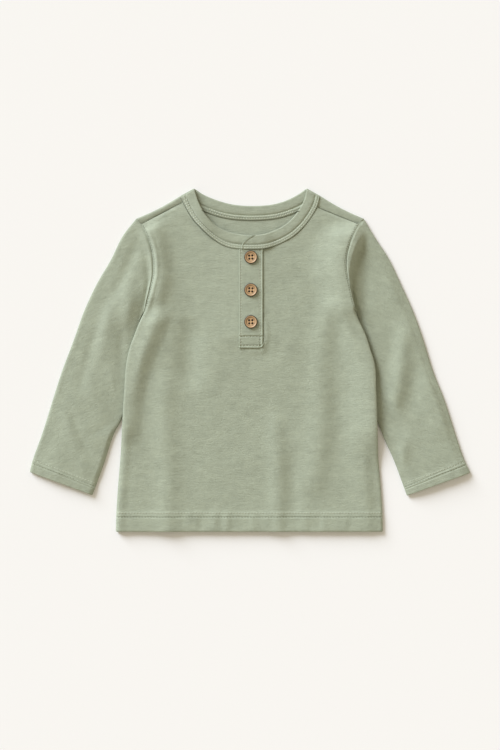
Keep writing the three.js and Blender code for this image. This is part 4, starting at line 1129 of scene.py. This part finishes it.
def placket_strip(name, right_x, left_x, foot, rise, upper):
    """One strip from its foot up to the neck seam. Only the upper one has stitches and a cut corner."""
    width = left_x - right_x
    across = np.concatenate([edge_steps(5, STRIP_EDGE), np.linspace(STRIP_EDGE, width - STRIP_EDGE, 41)[1:-1],
                             width - edge_steps(5, STRIP_EDGE)[::-1]])
    top_y = beside(neck_front_sewn, share_at_x(neck_front_sewn, right_x + across), NECK_GAP)[:, 1]
    up = np.concatenate([edge_steps(5, STRIP_EDGE), refine(np.array(STRIP_STOPS), 0.6)[1:]])
    up = up / up[-1]
    x = np.broadcast_to(right_x + across, (len(up), len(across))).copy()
    own_y = foot + up[:, None] * (top_y - foot)[None]
    y = own_y.copy()
    if upper:
        near_corner = np.clip((x - (left_x - CORNER)) / CORNER, 0, 1)
        y += CORNER * (1 - np.sqrt(1 - near_corner**2)) * (1 - smooth(y, foot, foot + 3 * CORNER + 0.1))
    height = front_base(x, y) + rise + 0.07 * uneven(x, y, 6, 51)
    if upper:
        height += STRIP_END_RISE * smooth(y, SLOT["top"] - STRIP_CLIMB, SLOT["top"])
        height += stitched_relief(x, y, own_y - foot, right_x, left_x)
    face = np.stack([x, y, height], -1)
    sides = round_rise(np.minimum(across, width - across), STRIP_ROUND)
    foot_rise = round_rise(up * (SLOT["top"] - foot), STRIP_ROUND)
    turned = STRIP_CLOTH / 2 * (1 - np.minimum(sides[None], foot_rise[:, None])) * TURN_SHARE
    piece = cloth_wall(name, face, STRIP_CLOTH, 1, turned=turned)
    piece.data.materials.append(jersey_material(f"jersey_{name}", colour=STRIP_SAGE, streaks=0.4))
    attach(piece, "root")
    return piece


placket_over = placket_strip("placket_upper", PLACKET["right"] - OVERHANG, PLACKET["left"] + OVERHANG,
                             PLACKET["foot"] - OVERHANG, SEAM_GAP - STRIP_SINK + STRIP_CLOTH, True)
placket_under = placket_strip("placket_lower", SLOT["right"] + UNDER_INSET, SLOT["left"] - UNDER_INSET,
                              UNDER_FOOT_Y, -STRIP_SINK, False)
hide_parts("placket_over")
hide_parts("placket_under")


# Stitching: cotton thread in short raised stitches, each a bead that dips into the cloth at its ends. Twin
# rows hold the hems and the neckband's seam, and single rows run round the placket. Near-black thread is laid
# in the seams' ditches and along the lower hem and cuff rows as painted shade of those grooves.
BEAD_RINGS = np.linspace(-1, 1, 7)
BEAD_SIDES = 6
RAY_START = 0.05
THREAD_AHEAD = 0.3
THREAD_TWIST = (900, 900, 900)
THREAD_RELIEF = 0.0001
HEM_INSET = 1.2
BAND_RUNS = {"front": (0.03, 0.97, 300), "back": (0.2, 0.8, 200)}


def surface_of(piece):
    mesh = piece.data
    return BVHTree.FromPolygons([v.co[:] for v in mesh.vertices], [p.vertices[:] for p in mesh.polygons])


surfaces = {name: surface_of(piece) for name, piece in (
    ("front", front), ("band", neckband), ("placket", placket_over), ("back", back), *sleeves.items())}


def lay_on(cloths, plan):
    """Heights and normals of the topmost of the named cloths at plan points, in millimetres."""
    heights, normals = [], []
    for x, y in plan:
        above, best = Vector((x * MM, y * MM, RAY_START)), None
        for cloth in cloths:
            hit, normal, _, _ = surfaces[cloth].ray_cast(above, Vector((0, 0, -1)))
            if hit is not None and (best is None or hit.z > best[0].z):
                best = (hit, normal)
        heights.append(best[0].z / MM if best else np.nan)
        normals.append(tuple(best[1]) if best else (0, 0, 1))
    return np.array(heights), np.array(normals)


def stitch_row(cloths, line, pitch, stitch, radius):
    """Vertices and faces of the stitches along a plan line, laid on the cloth under them."""
    line = np.asarray(line, float)
    walked = walk(line)
    count = max(int(walked[-1] / pitch), 1)
    middles = (np.arange(count) + 0.5) * walked[-1] / count
    at = pick(line, walked, middles)
    ahead = pick(line, walked, middles + THREAD_AHEAD) - pick(line, walked, middles - THREAD_AHEAD)
    heights, normals = lay_on(cloths, at)
    good = ~np.isnan(heights)
    at, ahead, heights, normals = at[good], ahead[good], heights[good], normals[good]
    ahead = np.column_stack([ahead, np.zeros(len(ahead))])
    ahead -= normals * (ahead * normals).sum(1, keepdims=True)
    ahead /= np.linalg.norm(ahead, axis=1, keepdims=True)
    aside = np.cross(normals, ahead)
    centre = np.column_stack([at, heights])
    angle = np.linspace(0, 2 * np.pi, BEAD_SIDES, endpoint=False)[None, :, None]
    rings = []
    for place in BEAD_RINGS:
        girth = radius * np.sqrt(max(1 - place**2 * 0.9, 0.02))
        lift = radius * 0.75 * (1 - place**2) - radius * 0.3
        ring = (centre + ahead * (place * stitch / 2) + normals * lift)[:, None]
        rings.append(ring + girth * (np.cos(angle) * aside[:, None] + np.sin(angle) * normals[:, None]))
    per = len(BEAD_RINGS) * BEAD_SIDES
    one = [tuple(range(BEAD_SIDES))[::-1], tuple(range(per - BEAD_SIDES, per))]
    for low in range(0, per - BEAD_SIDES, BEAD_SIDES):
        for k in range(BEAD_SIDES):
            a, b = low + k, low + (k + 1) % BEAD_SIDES
            one.append((a, b, b + BEAD_SIDES, a + BEAD_SIDES))
    faces = [tuple(corner + k * per for corner in face) for k in range(len(centre)) for face in one]
    return np.stack(rings, 1).reshape(-1, 3), faces


def grained(tree, scale, detail, dark, light, **values):
    """The object's own place, its grain from 0 to 1, and the tint between dark and light that it gives."""
    place = wire(tree, "ShaderNodeTexCoord").outputs["Object"]
    grain = noise(tree, place, scale, detail, 0.5, **values)
    tint = wire(tree, "ShaderNodeMix", {"Factor": grain, "A": dark, "B": light}, data_type="RGBA")
    return place, grain, tint.outputs["Result"]


def thread_material(name, dark, light):
    material, tree, shader = new_material(name, {"Roughness": 0.7})
    _, twist, tint = grained(tree, THREAD_TWIST, 2.0, dark, light)
    tree.links.new(tint, shader.inputs["Base Color"])
    bumped(tree, shader, twist, THREAD_RELIEF)
    return material


THREAD = thread_material("sage_thread", (0.56, 0.59, 0.46, 1), (0.72, 0.75, 0.61, 1))
# Near-black thread that stands in for the shade in grooves and ditches: painted shade.
GROOVE_SHADE_THREAD = thread_material("groove_shade_thread", (0.10, 0.11, 0.07, 1), (0.22, 0.24, 0.16, 1))


def stitching(name, thread, rows):
    """One piece of thread. Each row is its cloths, its plan line, and its pitch, stitch and thread radius."""
    vertices, faces, count = [], [], 0
    for cloths, line, gauge in rows:
        row_vertices, row_faces = stitch_row(cloths, line, *gauge)
        vertices.append(row_vertices)
        faces += [tuple(index + count for index in face) for face in row_faces]
        count += len(row_vertices)
    mesh = bpy.data.meshes.new(name)
    mesh.from_pydata((np.vstack(vertices) * MM).tolist(), [], faces)
    mesh.shade_smooth()
    mesh.materials.append(thread)
    piece = in_scene(name, mesh)
    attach(piece, "root")


def cuff_line(side, row):
    """The line of a row of stitches round the cuff, at a distance up from its end."""
    ends = []
    for line in (SLEEVE_INNER, SLEEVE_OUTER):
        back, end = (np.array([SIGN[side] * (x + ARMHOLE_GAP), y]) for x, y in line[side][-2:])
        ends.append(end + (back - end) / np.linalg.norm(back - end) * row)
    return [mix(*ends, share) for share in (0.015, 0.985)]


def band_line(part, place):
    """A line along the front or the back of the neckband, at a share of the band's width."""
    shares = np.linspace(*BAND_RUNS[part])
    sewn, free = (along(line, shares) for line in BAND_LINES[part])
    return mix(sewn, free, np.full(len(shares), place))


# The upper hem row is sage thread. The lower row is near-black thread, painted shade in the groove that it
# pulls.
for name, row, thread in (("upper", HEM_ROWS[0], THREAD), ("lower", HEM_ROWS[1], GROOVE_SHADE_THREAD)):
    hem_line = [(sign * (half_width(side, row) - HEM_INSET), row) for side, sign in SIGN.items()]
    stitching(f"hem_stitching_{name}", thread, [(["front"], hem_line, (2.9, 2.2, 0.3))])

# Each cuff's lower row is near-black thread, painted shade in its groove.
for side in SIGN:
    for name, row, thread, radius in (("upper", CUFF_ROWS[0], THREAD, 0.23),
                                      ("lower", CUFF_ROWS[1], GROOVE_SHADE_THREAD, 0.17)):
        cuff_row = ([side], cuff_line(side, row), (2.9, 1.9, radius))
        stitching(f"cuff_stitching_{side}_{name}", thread, [cuff_row])

stitching("neckband_stitching", THREAD, [
    (["band"], band_line(part, place), gauge) for place in BAND_STITCHES
    for part, gauge in (("front", (2.7, 2.1, 0.34)), ("back", (2.6, 1.6, 0.55)))])

# Near-black thread along the neck, neckband, shoulder and armhole seams: painted shade in their ditches.
seam_rows = [
    (["front", "band"], beside(neck_front_sewn, np.linspace(0.03, 0.97, 300), 0.4), (2.1, 1.3, 0.22)),
    (["back", "band"], beside(neck_back_sewn, np.linspace(0.17, 0.83, 220), 0.3), (2.1, 1.9, 0.36)),
    (["band"], band_line("front", BAND_GROOVE / BAND_WIDTH), (2.3, 1.6, 0.2)),
    (["band"], band_line("back", 0.19), (2.6, 1.3, 0.3)),
]
for side in SIGN:
    armhole_y = np.linspace(UNDERARM_Y + 4, SEAM_TOP_Y - 1, 60)
    seam_rows += [
        (["front"], [shoulder_seam(side, at, -0.3) for at in (0.02, 0.97)], (2.0, 2.0, 0.26)),
        (["front"], armhole_point(side, armhole_y, -1.3), (2.3, 1.8, 0.26)),
    ]
stitching("groove_shade_thread", GROOVE_SHADE_THREAD, seam_rows)

BOX = {"right": PLACKET["right"] + 1.6, "left": PLACKET["left"] - 2.8, "foot": PLACKET["foot"] + 2.4}
stitching("placket_stitching", THREAD, [
    (["placket"], line, (2.7, 2.1, 0.34)) for line in (
        [(BOX["right"], 109.0), (BOX["right"], BOX["foot"])],
        [(BOX["left"], 108.5), (BOX["left"], BOX["foot"])],
        [(BOX["right"], BOX["foot"]), (BOX["left"], BOX["foot"])],
        [(BOX["right"], CROSS_SEAM_Y), (BOX["left"], CROSS_SEAM_Y)])])

# Near-black thread beside the box, its foot, the cross seam and the upper strip's edge on the front: painted
# shade in those grooves.
side_x, foot_y, cross_y = BOX["left"] - 0.7, BOX["foot"] + 0.7, CROSS_SEAM_Y - 0.6
stitching("placket_groove_shade_thread", GROOVE_SHADE_THREAD, [
    (["placket"], [(side_x, 22.6), (side_x, BOX["foot"] + 0.8)], (2.0, 1.5, 0.2)),
    (["placket"], [(BOX["right"] + 0.6, foot_y), (BOX["left"], foot_y)], (2.0, 1.5, 0.2)),
    (["placket"], [(BOX["right"], cross_y), (BOX["left"], cross_y)], (2.0, 1.7, 0.2)),
    (["front"], [(13.75, 109.0), (13.75, 17.0)], (2.0, 1.9, 0.22)),
])


# Buttons: turned from a pale wood, with a raised rim, a shallow dish and four drilled holes, a painted shadow
# round the rim and a painted groove ring, and sewn on with thread that is near-black as painted shade in the
# holes.
BUTTON = {"radius": 6.6, "height": 2.4, "dish": 0.8, "rim": 1.35, "hole": 1.15, "spacing": 1.55, "sink": 0.2,
          "corner": 0.8, "groove": 4.3, "thread": 1.45}
BUTTON_SEGMENTS = 72
HOLES = [(x * BUTTON["spacing"], y * BUTTON["spacing"]) for x in (-1, 1) for y in (-1, 1)]
WOOD_RELIEF = 0.00008
WOOD_GRAIN = {"scale": (180, 2200, 500), "tilt": 0.35, "dark": (0.34, 0.19, 0.085, 1),
              "light": (0.80, 0.53, 0.28, 1)}


def wood_material():
    """Pale wood with grain, a painted shadow darkening its outer rim almost to black, and a dark ring painted
    as the shade of a turned groove.
    """
    material, tree, shader = new_material("button_wood", {"Roughness": 0.5})
    place, grain, tint = grained(tree, detail=4.0, Distortion=0.4, **WOOD_GRAIN)
    flat = wire(tree, "ShaderNodeVectorMath", {0: place, 1: (1, 1, 0)}, operation="MULTIPLY")
    out = wire(tree, "ShaderNodeVectorMath", {0: flat.outputs[0]}, operation="LENGTH").outputs["Value"]
    # Painted shadow round the button's edge: the outer rim darkens almost to black.
    edge = wire(tree, "ShaderNodeMapRange", {"Value": out, "From Min": 0.0055, "From Max": 0.006,
                                             "To Min": 1.0, "To Max": 0.08})
    # Painted shade of a groove: a dark ring at the groove's radius, with no groove in the form.
    groove = maths(tree, "ABSOLUTE", maths(tree, "SUBTRACT", out, BUTTON["groove"] * MM))
    ring = wire(tree, "ShaderNodeMapRange", {"Value": groove, "From Min": 0.0, "From Max": 0.0008,
                                             "To Min": 0.42, "To Max": 1.0})
    painted_shade = maths(tree, "MULTIPLY", edge.outputs[0], ring.outputs[0])
    shaded = wire(tree, "ShaderNodeVectorMath", {0: tint, "Scale": painted_shade}, operation="SCALE")
    tree.links.new(shaded.outputs[0], shader.inputs["Base Color"])
    bumped(tree, shader, grain, WOOD_RELIEF)
    return material


WOOD = wood_material()
# Thread in the button holes: real thread, made near-black as painted shade in the holes.
HOLE_SHADE_THREAD = thread_material("hole_shade_thread", (0.012, 0.009, 0.006, 1), (0.04, 0.03, 0.02, 1))


def mesh_of(bm, name):
    """A mesh in metres from a form in millimetres."""
    bmesh.ops.scale(bm, vec=(MM, MM, MM), verts=bm.verts)
    mesh = bpy.data.meshes.new(name)
    bm.to_mesh(mesh)
    bm.free()
    return mesh


def turned_form():
    """The button before it is drilled, as its outline turned round its axis."""
    radius, height, dish, rim, corner = (BUTTON[key] for key in ("radius", "height", "dish", "rim", "corner"))
    arc = np.linspace(0, np.pi / 2, 5)
    flat = radius - corner
    profile = [(flat, 0.0)]
    profile += [(flat + corner * np.sin(a), corner - corner * np.cos(a)) for a in arc[1:]]
    profile += [(flat + corner * np.cos(a), height - corner + corner * np.sin(a)) for a in arc]
    profile += [(radius - rim, height - 0.12), (radius - rim - 0.5, height - dish * 0.75),
                (radius - rim - 1.1, height - dish)]
    bm = bmesh.new()
    angles = np.linspace(0, 2 * np.pi, BUTTON_SEGMENTS, endpoint=False)
    rings = [[bm.verts.new((r * np.cos(a), r * np.sin(a), z)) for a in angles] for r, z in profile]
    bottom, top = bm.verts.new((0, 0, 0)), bm.verts.new((0, 0, height - dish - 0.08))
    steps = [(k, (k + 1) % BUTTON_SEGMENTS) for k in range(BUTTON_SEGMENTS)]
    for a, b in zip(rings[:-1], rings[1:]):
        for k, m in steps:
            bm.faces.new((a[k], a[m], b[m], b[k]))
    for k, m in steps:
        bm.faces.new((bottom, rings[0][m], rings[0][k]))
        bm.faces.new((top, rings[-1][k], rings[-1][m]))
    return bm


def drilled(piece):
    """The piece's mesh with its four holes cut through."""
    bm = bmesh.new()
    for x, y in HOLES:
        made = bmesh.ops.create_cone(bm, cap_ends=True, segments=24, radius1=BUTTON["hole"],
                                     radius2=BUTTON["hole"], depth=3 * BUTTON["height"])
        bmesh.ops.translate(bm, vec=(x, y, BUTTON["height"] / 2), verts=made["verts"])
    drill = in_scene("drill", mesh_of(bm, "drill"))
    cut = piece.modifiers.new("holes", "BOOLEAN")
    cut.object = drill
    cut.operation = "DIFFERENCE"
    cut.solver = "EXACT"
    mesh = bpy.data.meshes.new_from_object(piece.evaluated_get(bpy.context.evaluated_depsgraph_get()))
    piece.modifiers.clear()
    bpy.data.objects.remove(drill)
    mesh.shade_smooth()
    mesh.set_sharp_from_angle(angle=0.7)
    mesh.materials.clear()
    mesh.materials.append(WOOD)
    return mesh


def hole_shade_thread(name, centre, foot, turn):
    """The thread down in the four holes, near-black as painted shade in them."""
    bm = bmesh.new()
    for x, y in HOLES:
        made = bmesh.ops.create_uvsphere(bm, u_segments=12, v_segments=8, radius=BUTTON["hole"] * 0.97)
        height = BUTTON["height"] - BUTTON["dish"] - BUTTON["thread"]
        bmesh.ops.translate(bm, vec=(x, y, height), verts=made["verts"])
    bmesh.ops.rotate(bm, cent=(0, 0, 0), matrix=Matrix.Rotation(turn, 3, "Z"), verts=bm.verts)
    bmesh.ops.translate(bm, vec=(centre[0], centre[1], foot), verts=bm.verts)
    mesh = mesh_of(bm, f"{name}_thread")
    mesh.shade_smooth()
    mesh.materials.append(HOLE_SHADE_THREAD)
    thread = in_scene(mesh.name, mesh)
    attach(thread, "root")


for place, turn in (("top", 0.05), ("middle", -0.04), ("bottom", 0.02)):
    name, node = f"wood_button_{place}", f"button_{place}"
    centre = np.array(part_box(node)).mean(0) / MM
    foot = lay_on(["placket"], [centre[:2]])[0][0] - BUTTON["sink"]
    piece = in_scene(name, mesh_of(turned_form(), name))
    piece.data = drilled(piece)
    piece.data.name = name
    piece.location = Vector((centre[0], centre[1], foot)) * MM
    piece.rotation_euler.z = turn
    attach(piece, "root")
    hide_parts(node)
    hole_shade_thread(name, centre, foot, turn)
